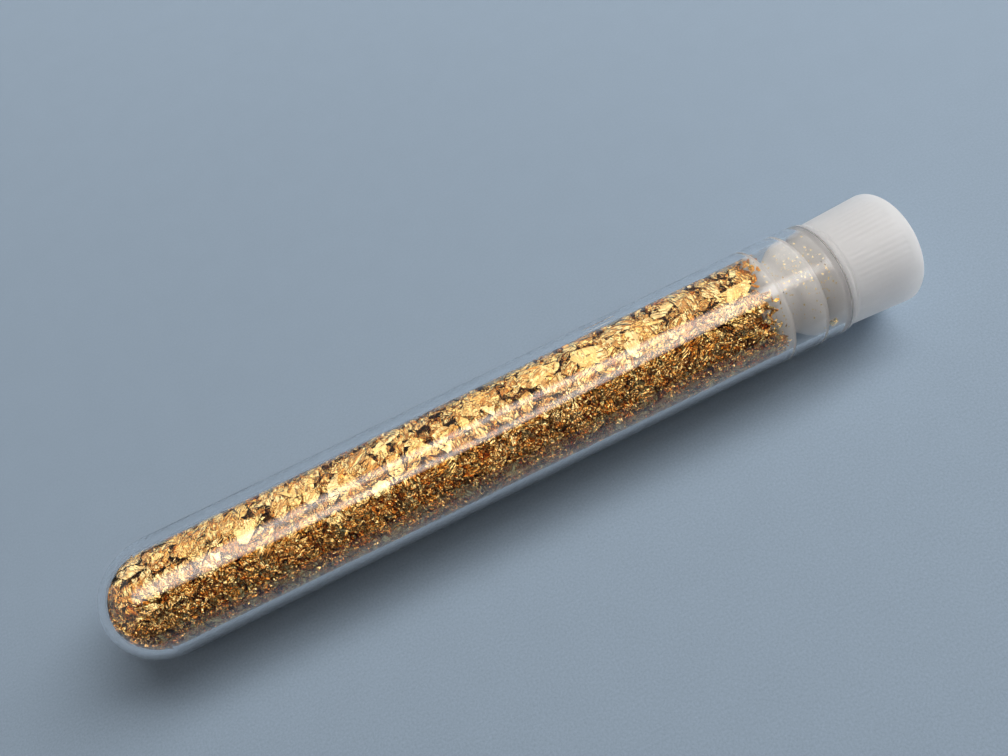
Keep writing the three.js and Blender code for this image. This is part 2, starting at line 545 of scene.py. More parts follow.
@dataclass(frozen=True)
class ClearPlastic:
    """Clear moulded polystyrene that lets the lamps through to the gold.

    Attributes:
        tint: colour of the light that goes through.
        ior: index of refraction.
        scuffed: roughness where it is scuffed; it is 0 elsewhere.
        waves: strength and depth, in metres, of its flow waves.
        face_on: share of the lamps' light that gets through a wall met face on.
        edge_on: share that gets through one met edge on.
        turn_away: how far a wall faces away where the first share starts to fall, and where it has fallen.
    """

    tint: Colour = (0.985, 0.99, 0.995, 1.0)
    ior: float = 1.59
    scuffed: float = 0.03
    waves: Span = (0.05, 0.1 * MM)
    face_on: Colour = (0.96, 0.965, 0.97, 1.0)
    edge_on: Colour = (0.12, 0.125, 0.13, 1.0)
    turn_away: Span = (0.35, 0.6)

    def make(self, effects: Effects) -> bpy.types.Material:
        """Builds the material.

        Args:
            effects: the shared effects.

        Returns:
            The material.
        """
        material, desk = new_material("clear_plastic")
        place = desk.millimetres()
        marks = desk.add("Group", {"node_tree": effects.moulding}, Vector=place, Scale=1.0).outputs
        strength, depth = self.waves
        bump = desk.add("Bump", None, Strength=strength, Distance=depth, Height=marks["Waves"])
        shell = desk.add(
            "BsdfPrincipled",
            None,
            Base_Color=self.tint,
            Roughness=desk.spread(marks["Scuffs"], 0.0, 1.0, 0.0, self.scuffed),
            IOR=self.ior,
            Transmission_Weight=1.0,
            Normal=bump.outputs["Normal"],
        )
        facing = desk.add("LayerWeight", None, Blend=0.5).outputs["Facing"]
        shade = desk.mix(desk.spread(facing, *self.turn_away), self.face_on, self.edge_on)
        clear = desk.add("BsdfTransparent", None, Color=shade)
        shadow = desk.add("LightPath").outputs["Is Shadow Ray"]
        desk.finish(desk.add("MixShader", None, Fac=shadow, _1=shell.outputs[0], _2=clear.outputs[0]))
        return material


@dataclass(frozen=True)
class MilkyPlastic:
    """Natural polyethylene, see-through where it is thin.

    Attributes:
        plug: colour of the plug, warmed with painted light bounced off the gold beside it.
        grip: colour of the head.
        cloudy: what the colour is multiplied by where the plastic is cloudiest.
        clouds: how much of that shows at most.
        head: where the head starts along the vial, in millimetres.
        head_blend: length over which the plug's colour turns into the head's before it.
        clearness_blend: length over which the clearness falls past it.
        thin_clearness: share of the light that goes through the thin plug.
        thick_clearness: share that goes through the thick head.
        ior: index of refraction.
        roughness: lowest and highest roughness.
        waves: strength and depth, in metres, of its flow waves.
        milk: share of the rest that is scattered under the surface.
        depth: how far it scatters, in metres.
    """

    plug: Colour = (0.97, 0.9, 0.83, 1.0)
    grip: Colour = (0.88, 0.87, 0.87, 1.0)
    cloudy: Colour = (0.72, 0.76, 0.8, 1.0)
    clouds: float = 0.1
    head: float = 33.6
    head_blend: float = 1.5
    clearness_blend: float = 0.8
    thin_clearness: float = 0.28
    thick_clearness: float = 0.1
    ior: float = 1.51
    roughness: Span = (0.36, 0.44)
    waves: Span = (0.2, 0.05 * MM)
    milk: float = 0.9
    depth: float = 6.0 * MM

    def make(self, effects: Effects) -> bpy.types.Material:
        """Builds the material.

        Args:
            effects: the shared effects.

        Returns:
            The material.
        """
        material, desk = new_material("milky_plastic")
        place = desk.millimetres()
        marks = desk.add("Group", {"node_tree": effects.moulding}, Vector=place, Scale=1.6).outputs
        along = desk.add("SeparateXYZ", None, Vector=place).outputs["X"]
        past_head = self.head + self.clearness_blend
        clearness = desk.spread(along, self.head, past_head, self.thin_clearness, self.thick_clearness)
        at_head = desk.spread(along, self.head - self.head_blend, self.head)
        cloud = desk.spread(marks["Waves"], *MID_NOISE, 0.0, self.clouds)
        # The plug's warm colour is painted light bounced off the gold; the head's is its own.
        colour = desk.mix(cloud, desk.mix(at_head, self.plug, self.grip), self.cloudy, "MULTIPLY")
        strength, depth = self.waves
        bump = desk.add("Bump", None, Strength=strength, Distance=depth, Height=marks["Waves"])
        body = desk.add(
            "BsdfPrincipled",
            None,
            Base_Color=colour,
            Roughness=desk.spread(marks["Scuffs"], 0.0, 1.0, *self.roughness),
            IOR=self.ior,
            Transmission_Weight=clearness,
            Subsurface_Weight=self.milk,
            Subsurface_Radius=(1.0, 1.0, 1.0),
            Subsurface_Scale=self.depth,
            Normal=bump.outputs["Normal"],
        )
        desk.finish(body)
        return material


@dataclass(frozen=True)
class Gold:
    """Beaten gold leaf.

    Attributes:
        name: the material's name.
        lean: added to each flake's own tone, from pale below 0 to copper above.
        dull: lowest roughness.
        duller: how much higher the highest is.
        relief: height of the facets, in metres.
        scale: facets in a millimetre.
        crushed: the crush of the flattest flakes, and of those that are crushed fully.
        hollow_shade: how dark the painted shade is in the hollow spots of those two.
        wrinkles: how strong the wrinkles of those two are.
    """

    name: str
    lean: float = 0.0
    dull: float = 0.08
    duller: float = 0.12
    relief: float = 0.16 * MM
    scale: float = 2.2
    crushed: Span = (0.2, 1.0)
    hollow_shade: Span = (0.2, 0.9)
    wrinkles: Span = (0.35, 1.0)

    def make(self, effects: Effects) -> bpy.types.Material:
        """Builds the material.

        Args:
            effects: the shared effects.

        Returns:
            The material.
        """
        material, desk = new_material(self.name)
        place = desk.millimetres()
        own = desk.add("Attribute", {"attribute_name": "tone"}).outputs["Fac"]
        crush = desk.add("Attribute", {"attribute_name": "crush"}).outputs["Fac"]
        group = {"node_tree": effects.facets}
        facets = desk.add("Group", group, Vector=place, Scale=self.scale, Turn=own).outputs
        # Painted shade: the facets' hollows darken the gold, more on more crushed flakes.
        hollow = desk.maths("MULTIPLY", facets["Hollow"], desk.spread(crush, *self.crushed, *self.hollow_shade))
        tone = desk.maths("ADD", own, self.lean)
        group = {"node_tree": effects.tone}
        golds = desk.add("Group", group, Vector=place, Tone=tone, Hollow=hollow).outputs
        wrinkles = desk.spread(crush, *self.crushed, *self.wrinkles)
        bump = desk.add("Bump", None, Strength=wrinkles, Distance=self.relief, Height=facets["Height"])
        leaf = desk.add(
            "BsdfPrincipled",
            None,
            Base_Color=golds["Colour"],
            Roughness=desk.spread(golds["Mottle"], *MID_NOISE, self.dull, self.dull + self.duller),
            Metallic=1.0,
            Normal=bump.outputs["Normal"],
        )
        desk.finish(leaf)
        return material


@dataclass(frozen=True)
class Tarnish:
    """Dull brown bits, of leaf that has lost its shine.

    Attributes:
        dark: their darker brown.
        light: their lighter brown.
        dull: their roughness.
        metal: how metallic they still are.
    """

    dark: Colour = (0.08, 0.06, 0.05, 1.0)
    light: Colour = (0.26, 0.18, 0.12, 1.0)
    dull: float = 0.5
    metal: float = 0.4

    def make(self) -> bpy.types.Material:
        """Builds the material.

        Returns:
            The material.
        """
        material, desk = new_material("tarnished_bits")
        grain = desk.noise(desk.millimetres(), 5.0, detail=3.0)
        colour = desk.ramp(grain, ((0.35, self.dark), (0.65, self.light)))
        bits = desk.add("BsdfPrincipled", None, Base_Color=colour, Roughness=self.dull)
        bits.inputs["Metallic"].default_value = self.metal
        desk.finish(bits)
        return material


@dataclass(frozen=True)
class Card:
    """The matt pale card that the vial lies on.

    Attributes:
        colour: the card's colour.
        dull: its roughness.
        specular: its specular level.
        clouds: how much broad clouds lighten and darken it.
        grain: how much its fine grain lightens and darkens it.
        grain_far: share of the grain that still shows far away.
        near: where the grain shows fully, in millimetres along Y.
        far: where it shows least.
    """

    colour: Vector3 = (0.315, 0.404, 0.506)
    dull: float = 0.8
    specular: float = 0.25
    clouds: float = 0.015
    grain: float = 0.15
    grain_far: float = 0.3
    near: float = -8.0
    far: float = 22.0

    def make(self) -> bpy.types.Material:
        """Builds the material.

        Returns:
            The material.
        """
        material, desk = new_material("pale_card")
        place = desk.millimetres()
        fibres = desk.spread(desk.noise(place, 4.5, detail=3.0, roughness=0.8), *WIDE_NOISE, -1.0, 1.0)
        away = desk.add("SeparateXYZ", None, Vector=place).outputs["Y"]
        shown = desk.spread(away, self.near, self.far, self.grain, self.grain * self.grain_far)
        clouds = desk.noise(place, 0.25, detail=4.0, roughness=0.6)
        clouds = desk.spread(clouds, *WIDE_NOISE, 1 - self.clouds, 1 + self.clouds)
        light = desk.maths("ADD", clouds, desk.maths("MULTIPLY", fibres, shown))
        colour = desk.add("VectorMath", {"operation": "SCALE"}, _0=self.colour, Scale=light)
        sheet = desk.add("BsdfPrincipled", None, Base_Color=colour.outputs["Vector"], Roughness=self.dull)
        sheet.inputs["Specular IOR Level"].default_value = self.specular
        desk.finish(sheet)
        return material


@dataclass(frozen=True)
class DarkCloth:
    """The dark cloth of the flag that stands before the vial.

    Attributes:
        colour: the cloth's colour.
        dull: lowest and highest roughness.
    """

    colour: Colour = (0.06, 0.062, 0.066, 1.0)
    dull: Span = (0.8, 0.95)

    def make(self) -> bpy.types.Material:
        """Builds the material.

        Returns:
            The material.
        """
        material, desk = new_material("dark_cloth")
        weave = desk.noise(desk.millimetres(), 0.5, detail=2.0)
        sheen = desk.spread(weave, *MID_NOISE, *self.dull)
        desk.finish(desk.add("BsdfPrincipled", None, Base_Color=self.colour, Roughness=sheen))
        return material


@dataclass(frozen=True)
class LampFace:
    """The lamp's face: a bright soft ring round a dimmer middle.

    Attributes:
        colour: colour of its light.
        radiance: brightness of the ring.
        stops: share of that brightness at shares of the lamp's radius.
    """

    colour: Colour = (1.0, 0.93, 0.885, 1.0)
    radiance: float = 3.8
    stops: tuple[tuple[float, float], ...] = (
        (0.0, 0.22),
        (0.3, 0.25),
        (0.4, 0.5),
        (0.53, 0.95),
        (0.72, 0.95),
        (0.85, 0.5),
        (1.0, 0.0),
    )

    def make(self) -> bpy.types.Material:
        """Builds the material.

        Returns:
            The material.
        """
        material, desk = new_material("lamp_face")
        reach = desk.add("Attribute", {"attribute_name": "reach"}).outputs["Fac"]
        share = desk.ramp(reach, [(place, (level, level, level, 1.0)) for place, level in self.stops])
        strength = desk.maths("MULTIPLY", share, self.radiance)
        desk.finish(desk.add("Emission", None, Color=self.colour, Strength=strength))
        return material


@dataclass(frozen=True)
class GlowFace:
    """The face of the glow, which reaches the gold through the tube but leaves the tube's own shine alone.

    Attributes:
        colour: colour of its light.
        radiance: lowest and highest brightness.
        walls: number of times that light crosses the tube's surfaces on its way to the gold and back.
    """

    colour: Colour = (1.0, 0.98, 0.95, 1.0)
    radiance: Span = (1.2, 1.8)
    walls: int = 4

    def make(self) -> bpy.types.Material:
        """Builds the material.

        Returns:
            The material.
        """
        material, desk = new_material("glow_face")
        crossed = desk.add("LightPath").outputs["Transmission Depth"]
        reaches = desk.maths("GREATER_THAN", crossed, self.walls - 0.5)
        folds = desk.noise(desk.add("TexCoord").outputs["Object"], 3.0, detail=1.0)
        strength = desk.maths("MULTIPLY", reaches, desk.spread(folds, *MID_NOISE, *self.radiance))
        desk.finish(desk.add("Emission", None, Color=self.colour, Strength=strength))
        return material


class Finishes:
    """Every material of the vial and its stage, built once.

    Attributes:
        clear: the tube's plastic.
        milky: the stopper's plastic.
        leaf: the broad leaves.
        flakes: the small flakes and slivers.
        deep: the gold deep inside, leaning to copper as painted shade.
        dust: gold dust.
        tarnish: dull brown bits.
        card: the floor.
        cloth: the flag.
        lamp: the lamp's face.
        glow: the glow's face.
    """

    def __init__(self) -> None:
        """Builds the materials."""
        effects = Effects()
        self.clear = ClearPlastic().make(effects)
        self.milky = MilkyPlastic().make(effects)
        self.leaf = Gold("gold_leaf").make(effects)
        self.flakes = Gold("gold_flakes", lean=0.03, dull=0.05, relief=0.18 * MM, scale=2.4).make(effects)
        self.deep = Gold("deep_gold", lean=0.1, dull=0.3, relief=0.3 * MM, scale=1.6).make(effects)
        self.dust = Gold("gold_dust", lean=-0.2, dull=0.35, relief=0.02 * MM, scale=6.0).make(effects)
        self.tarnish = Tarnish().make()
        self.card = Card().make()
        self.cloth = DarkCloth().make()
        self.lamp = LampFace().make()
        self.glow = GlowFace().make()


# ---- The tube ----


@dataclass
class Tube:
    """The clear tube, all in millimetres.

    Attributes:
        axis: where the vial's axis lies.
        length: from the round bottom's tip to the mouth.
        bore_at_bottom: the bore's radius where its round end starts.
        bore_at_mouth: the bore's radius at the mouth, wider as a moulded tube's is.
        bottom_wall: the wall's thickness at the tip.
        rim: rounding of the rim's edges.
        land: length of the last stretch before the mouth.
        witness: (station, width, height) of the fine ridge that the mould's joint left.
        streak: (start, end, thickness, turn in degrees) of a drawn-out air bubble in the wall.
        steps: faces round the tube.
    """

    axis: VialAxis
    length: float = 75.0
    bore_at_bottom: float = 4.79
    bore_at_mouth: float = 5.08
    bottom_wall: float = 0.85
    rim: float = 0.1
    land: float = 0.8
    witness: Vector3 = (6.15, 0.3, 0.01)
    streak: tuple[float, float, float, float] = (51.7, 55.1, 0.11, 46.0)
    steps: int = 288

    @property
    def outer_radius(self) -> float:
        """The tube's outer radius: its witness ridge lies on the floor."""
        return self.axis.height / MM - self.witness[2]

    @property
    def bore_centre(self) -> float:
        """Station of the centre of the bore's round end."""
        return self.bottom_wall + self.bore_at_bottom

    def bore_at(self, station: float | np.ndarray) -> float | np.ndarray:
        """The bore's radius along the straight part, at one station or many."""
        share = (station - self.bore_centre) / (self.length - self.bore_centre)
        return self.bore_at_bottom + (self.bore_at_mouth - self.bore_at_bottom) * share

    def profile(self) -> Profile:
        """The section of the wall, from the tip round the rim to the bore's end.

        Returns:
            (station, radius) points.
        """
        outer, inner = self.outer_radius, self.bore_at_mouth
        lip = self.length - self.rim
        middle, width, height = self.witness
        ridge = [(-0.5, 0.0), (-0.25, 0.8), (0.0, 1.0), (0.25, 0.8), (0.5, 0.0)]
        straight = (self.length - 1.0, self.bore_centre + 1.0)
        return [
            *arc_points(outer, outer, 0, 90, 40),
            (outer + self.rim, outer),
            *[(middle + width * place, outer + height * lift) for place, lift in ridge],
            *[(middle + width + step, outer) for step in (0.0, 0.5, 2.0)],
            (self.length - self.land, outer),
            *corner_points((lip, outer - self.rim), self.rim, 90, 0),
            *corner_points((lip, inner + self.rim), self.rim, 0, -90),
            *[(station, float(self.bore_at(station))) for station in straight],
            *arc_points(self.bore_centre, self.bore_at_bottom, 90, 0, 36),
        ]

    def add_streak(self, bm: bmesh.types.BMesh) -> None:
        """Adds the air bubble, whose faces point into it, out of the plastic.

        Args:
            bm: the turned wall.
        """
        start, end, thickness, turn = self.streak
        middle = (self.outer_radius + self.bore_at((start + end) / 2)) / 2
        sphere = bmesh.ops.create_uvsphere(bm, u_segments=12, v_segments=24, radius=0.5)
        stretch = Matrix.Diagonal((thickness, thickness, end - start, 1.0))
        lay_down = Matrix.Rotation(math.radians(90), 4, "Y")
        lift = Matrix.Translation(((start + end) / 2, 0.0, middle))
        roll = Matrix.Rotation(math.radians(-turn), 4, "X")
        bmesh.ops.transform(bm, matrix=roll @ lift @ lay_down @ stretch, verts=sphere["verts"])
        faces = {face for vert in sphere["verts"] for face in vert.link_faces}
        bmesh.ops.reverse_faces(bm, faces=list(faces))

    def build(self, finishes: Finishes) -> bpy.types.Object:
        """Builds the tube.

        Args:
            finishes: the vial's materials.

        Returns:
            The tube.
        """
        bm = turn_profile(self.profile(), self.steps)
        self.add_streak(bm)
        piece = settle(bm, "clear_tube", self.axis, sharp=50.0)
        return dress(piece, finishes.clear, "clear_plastic", "tube")


# ---- The stopper ----


@dataclass
class Stopper:
    """The push-in stopper. Its stations are measured from the tube's mouth, in millimetres.

    Attributes:
        tube: the tube that it closes.
        neck_radius: the plug's radius between its fins.
        hollow: (station, radius) at the hollow's mouth, in the plug's inner end, and at its own end.
        fins: stations of the fins' sealing edges.
        squeeze: how far a fin presses into the tube's wall.
        head_start: where the grip starts.
        head_end: where its rounded end starts.
        head_length: how far it stands out of the tube.
        head_radii: the grip's radius at its start and at its end.
        dish: (radius, depth) of the dish in its end.
        ribs: number of ribs round the grip.
        rib_span: where the ribs start and end.
        rib_depth: depth of the grooves between them.
        rib_fade: length over which a groove deepens at each end.
        steps_a_rib: faces across a rib and its groove.
    """

    tube: Tube
    neck_radius: float = 3.8
    hollow: tuple[Span, Span] = ((-8.0, 3.15), (5.9, 2.95))
    fins: Span = (-5.9, -2.4)
    squeeze: float = 0.04
    head_start: float = 0.9
    head_end: float = 7.32
    head_length: float = 7.7
    head_radii: Span = (5.48, 5.78)
    dish: Span = (3.8, 0.4)
    ribs: int = 64
    rib_span: Span = (1.1, 6.7)
    rib_depth: float = 0.04
    rib_fade: float = 0.25
    steps_a_rib: int = 6

    def head_radius(self, station: float) -> float:
        """The grip's radius at a station, over the ribs."""
        share = (station - self.head_start) / (self.head_end - self.head_start)
        return self.head_radii[0] + (self.head_radii[1] - self.head_radii[0]) * share

    def fin_profile(self, tip: float) -> Profile:
        """One fin: its flank widens to a sealing edge against the wall and drops back behind it.

        Args:
            tip: station of the end of its sealing edge.

        Returns:
            (station, radius) points.
        """
        reach = self.tube.bore_at(self.tube.length + tip) + self.squeeze
        return [
            (tip - 1.9, self.neck_radius),
            (tip - 1.55, self.neck_radius + 0.12),
            (tip - 0.35, reach - 0.12),
            (tip - 0.2, reach),
            (tip, reach),
            (tip + 0.08, reach - 0.1),
            (tip + 0.3, self.neck_radius + 0.02),
            (tip + 0.5, self.neck_radius - 0.1),
        ]

    def plug_profile(self) -> Profile:
        """The plug's section, from the end of its hollow round its mouth and fins to the flange.

        Returns:
            (station, radius) points.
        """
        (mouth, mouth_radius), (floor, floor_radius) = self.hollow
        seat = self.tube.bore_at_mouth + self.squeeze
        return [
            (floor, 0.0),
            (floor, floor_radius - 0.3),
            (floor - 0.1, floor_radius - 0.1),
            (floor - 0.3, floor_radius),
            (mouth + 0.1, mouth_radius),
            (mouth, mouth_radius + 0.1),
            (mouth, self.neck_radius - 0.15),
            (mouth + 0.15, self.neck_radius),
            *[point for tip in self.fins for point in self.fin_profile(tip)],
            (-1.5, 3.85),
            (-1.15, 4.25),
            (-0.85, 4.65),
            (-0.6, 5.0),
            (-0.45, seat),
            (0.0, seat),
            (0.01, seat + 0.04),
        ]

    def head_profile(self) -> Profile:
        """The head's section, from the flange over the grip to the dish in its end.

        Returns:
            (station, radius) points.
        """
        edge = self.head_length - self.head_end
        start, end = self.rib_span
        ribbed = [
            start - 0.08,
            *np.linspace(start, start + self.rib_fade, 3),
            *np.linspace(start + 0.8, end - 0.8, 6),
            *np.linspace(end - self.rib_fade, end, 3),
            end + 0.08,
        ]
        radius, depth = self.dish
        floor = self.head_length - depth
        return [
            (0.02, 5.62),
            (0.08, 5.7),
            (0.44, 5.7),
            (0.52, 5.62),
            (0.6, 5.38),
            (0.78, 5.36),
            (0.86, 5.42),
            *[(station, self.head_radius(station)) for station in (self.head_start, *ribbed)],
            *corner_points((self.head_end, self.head_radii[1] - edge), edge, 90, 0),
            (self.head_length, radius + 0.1),
            (self.head_length - 0.1, radius),
            (floor + 0.1, radius - 0.05),
            (floor, radius - 0.2),
            (floor, 0.0),
        ]

    def cut_grooves(self, bm: bmesh.types.BMesh) -> None:
        """Presses the grooves between the ribs into the grip.

        Args:
            bm: the turned stopper.
        """
        start, end = (self.tube.length + station for station in self.rib_span)
        for vert in bm.verts:
            reach = math.hypot(vert.co.y, vert.co.z)
            inside = start - 0.02 < vert.co.x < end + 0.02
            if not inside or reach < self.head_radii[0] - 0.5:
                continue
            turn = math.atan2(vert.co.y, vert.co.z) / (2 * math.pi) * self.ribs
            groove = (0.5 + 0.5 * math.cos(2 * math.pi * turn)) ** 1.5
            fade = min((vert.co.x - start) / self.rib_fade, (end - vert.co.x) / self.rib_fade, 1.0)
            scale = 1 - self.rib_depth * groove * max(fade, 0.0) / reach
            vert.co.y *= scale
            vert.co.z *= scale

    def build(self, finishes: Finishes) -> bpy.types.Object:
        """Builds the stopper.

        Args:
            finishes: the vial's materials.

        Returns:
            The stopper.
        """
        section = [*self.plug_profile(), *self.head_profile()]
        profile = [(self.tube.length + station, radius) for station, radius in section]
        bm = turn_profile(profile, self.ribs * self.steps_a_rib)
        self.cut_grooves(bm)
        piece = settle(bm, "milky_stopper", self.tube.axis, sharp=40.0)
        return dress(piece, finishes.milky, "milky_plastic", "stopper")


# ---- The gold ----


@dataclass(frozen=True)
class LeafCut:
    """How a leaf is cut and crumpled, for a leaf 2 units across.

    Attributes:
        cells: squares along each side of the sheet that it is cut from.
        tears: straight tears round its edge.
        creases: straight creases across it.
        slope: the slope that one crease adds.
        cup: how far its edge bends away from the wall.
        fold: share of leaves that are folded over.
        lips: share of torn edges that curl.
    """

    cells: int
    tears: int
    creases: int
    slope: float
    cup: float
    fold: float
    lips: float


class Cut(Enum):
    """The kinds of leaf in the vial."""

    GREAT = LeafCut(cells=16, tears=7, creases=7, slope=0.05, cup=0.02, fold=0.0, lips=0.3)
    BROAD = LeafCut(cells=8, tears=6, creases=6, slope=0.13, cup=0.06, fold=0.3, lips=0.3)
    SMALL = LeafCut(cells=3, tears=4, creases=3, slope=0.22, cup=0.1, fold=0.3, lips=0.2)
    SLIVER = LeafCut(cells=2, tears=3, creases=1, slope=0.3, cup=0.0, fold=0.0, lips=0.0)


@dataclass
class LeafSheet:
    """One cut leaf, ready to be laid many times.

    Attributes:
        points: its vertices, 2 units across, with its crumples along the third axis.
        faces: its faces, as indices of the vertices.
    """

    points: np.ndarray
    faces: list[tuple[int, ...]]


@dataclass
class LeafCutter:
    """Cuts and crumples leaves, each 2 units across.

    Attributes:
        seed: seed of the chance.
        tear_sector: share of its own sector of the edge that a tear may face.
        tear_reach: least and greatest distance of a tear from the leaf's middle.
        ragged: the greatest share by which the torn edge's points are drawn in.
        crease_reach: the greatest distance of a crease from the middle.
        crease_slope: least and greatest share of the cut's slope that a crease adds.
        lip_width: least and greatest width of the lip that curls along a tear.
        lip_bend: least and greatest bend of a lip, in degrees.
        fold_reach: least and greatest distance of a fold from the middle.
        fold_bend: least and greatest bend of a folded leaf, in degrees.
        gap: what a bend keeps between its two sides.
        dice: the seeded chance.
    """

    seed: int
    tear_sector: float = 0.8
    tear_reach: Span = (0.5, 0.95)
    ragged: float = 0.14
    crease_reach: float = 0.7
    crease_slope: Span = (0.4, 1.6)
    lip_width: Span = (0.06, 0.2)
    lip_bend: Span = (30.0, 100.0)
    fold_reach: Span = (0.05, 0.4)
    fold_bend: Span = (110.0, 170.0)
    gap: float = 0.02
    dice: random.Random = field(init=False)

    def __post_init__(self) -> None:
        """Seeds the chance."""
        self.dice = random.Random(self.seed)

    def heading(self, low: float = 0.0, high: float = 2 * math.pi) -> Vector:
        """A chance direction in the sheet, between two angles."""
        turn = self.dice.uniform(low, high)
        return Vector((math.cos(turn), math.sin(turn), 0.0))

    def either_way(self) -> int:
        """A chance side of the sheet, 1 or -1."""
        return self.dice.choice((-1, 1))

    def score(self, bm: bmesh.types.BMesh, away: Vector, distance: float, tear: bool = False) -> None:
        """Cuts a sheet along a straight line.

        Args:
            bm: the sheet.
            away: direction across the line.
            distance: how far the line is from the sheet's middle.
            tear: whether what lies past the line is torn off.
        """
        geometry = [*bm.verts, *bm.edges, *bm.faces]
        bmesh.ops.bisect_plane(bm, geom=geometry, plane_co=away * distance, plane_no=away, clear_outer=tear)

    def tear(self, bm: bmesh.types.BMesh, cut: LeafCut) -> list[tuple[Vector, float]]:
        """Tears straight pieces off round a sheet's edge and leaves the edge ragged.

        Args:
            bm: the sheet.
            cut: how it is cut.

        Returns:
            The direction and distance of each tear.
        """
        step = 2 * math.pi / cut.tears
        tears = []
        for i in range(cut.tears):
            away = self.heading(i * step, (i + self.tear_sector) * step)
            tears.append((away, self.dice.uniform(*self.tear_reach)))
        for away, distance in tears:
            self.score(bm, away, distance, tear=True)
        edge = [edge for edge in bm.edges if edge.is_boundary]
        bmesh.ops.subdivide_edges(bm, edges=edge, cuts=1)
        for vert in bm.verts:
            if vert.is_boundary:
                vert.co *= 1 - self.dice.uniform(0.0, self.ragged)
        return tears

    def crease(self, bm: bmesh.types.BMesh, cut: LeafCut) -> None:
        """Creases a sheet along straight lines into flat facets and bends its edge away.

        Args:
            bm: the sheet.
            cut: how it is creased.
        """
        creases = [(self.heading(), self.dice.uniform(0.0, self.crease_reach)) for _ in range(cut.creases)]
        slopes = [cut.slope * self.dice.uniform(*self.crease_slope) * self.either_way() for _ in creases]
        for away, distance in creases:
            self.score(bm, away, distance)
        folds = [(slope, *crease) for slope, crease in zip(slopes, creases)]
        for vert in bm.verts:
            lift = sum(slope * abs(vert.co.dot(away) - distance) for slope, away, distance in folds)
            vert.co.z = lift - cut.cup * vert.co.length_squared
        middle = sum(vert.co.z for vert in bm.verts) / len(bm.verts)
        for vert in bm.verts:
            vert.co.z -= middle

    def bend(self, bm: bmesh.types.BMesh, away: Vector, line: float, degrees: float) -> None:
        """Bends what lies past a line.

        Args:
            bm: the sheet, already scored along the line.
            away: direction across the line.
            line: how far the line is from the sheet's middle.
            degrees: how far it is bent, towards the wall above 0.
        """
        bend = math.radians(degrees)
        for vert in bm.verts:
            past = vert.co.dot(away) - line
            if past > 0:
                vert.co += away * past * (math.cos(bend) - 1)
                vert.co.z += past * math.sin(bend) + math.copysign(self.gap, degrees)

    def cut(self, kind: Cut) -> LeafSheet:
        """Cuts one leaf.

        Args:
            kind: the kind of leaf.

        Returns:
            The leaf.
        """
        cut = kind.value
        bm = bmesh.new()
        bmesh.ops.create_grid(bm, x_segments=cut.cells, y_segments=cut.cells, size=1.0)
        tears = self.tear(bm, cut)
        lips = [(away, distance - self.dice.uniform(*self.lip_width)) for away, distance in tears]
        lips = [lip for lip in lips if self.dice.random() < cut.lips]
        for away, line in lips:
            self.score(bm, away, line)
        over = None
        if self.dice.random() < cut.fold:
            over = (self.heading(), self.dice.uniform(*self.fold_reach))
            self.score(bm, *over)
        self.crease(bm, cut)
        for away, line in lips:
            self.bend(bm, away, line, self.either_way() * self.dice.uniform(*self.lip_bend))
        if over:
            self.bend(bm, *over, self.either_way() * self.dice.uniform(*self.fold_bend))
        bm.verts.index_update()
        points = np.array([vert.co[:] for vert in bm.verts])
        faces = [tuple(vert.index for vert in face.verts) for face in bm.faces]
        bm.free()
        return LeafSheet(points, faces)


@dataclass(frozen=True)
class Lie:
    """How one leaf lies against the wall, in millimetres and degrees.

    Attributes:
        station: station of its middle.
        turn: turn of its middle about the axis, 0 on top and negative towards -Y.
        length: its length.
        width: its width.
        spin: how far it is turned in its own plane.
        depth: how far inside the wall its middle lies.
        tilt: how far it tips away from the wall.
        relief: how much of its cut's crumpling it keeps.
        tone: its tone, from 0 for pale to 1 for copper.
        gap: its least gap to the wall.
    """

    station: float
    turn: float
    length: float
    width: float
    spin: float = 0.0
    depth: float = 0.1
    tilt: float = 0.0
    relief: float = 0.7
    tone: float = 0.2
    gap: float = 0.03


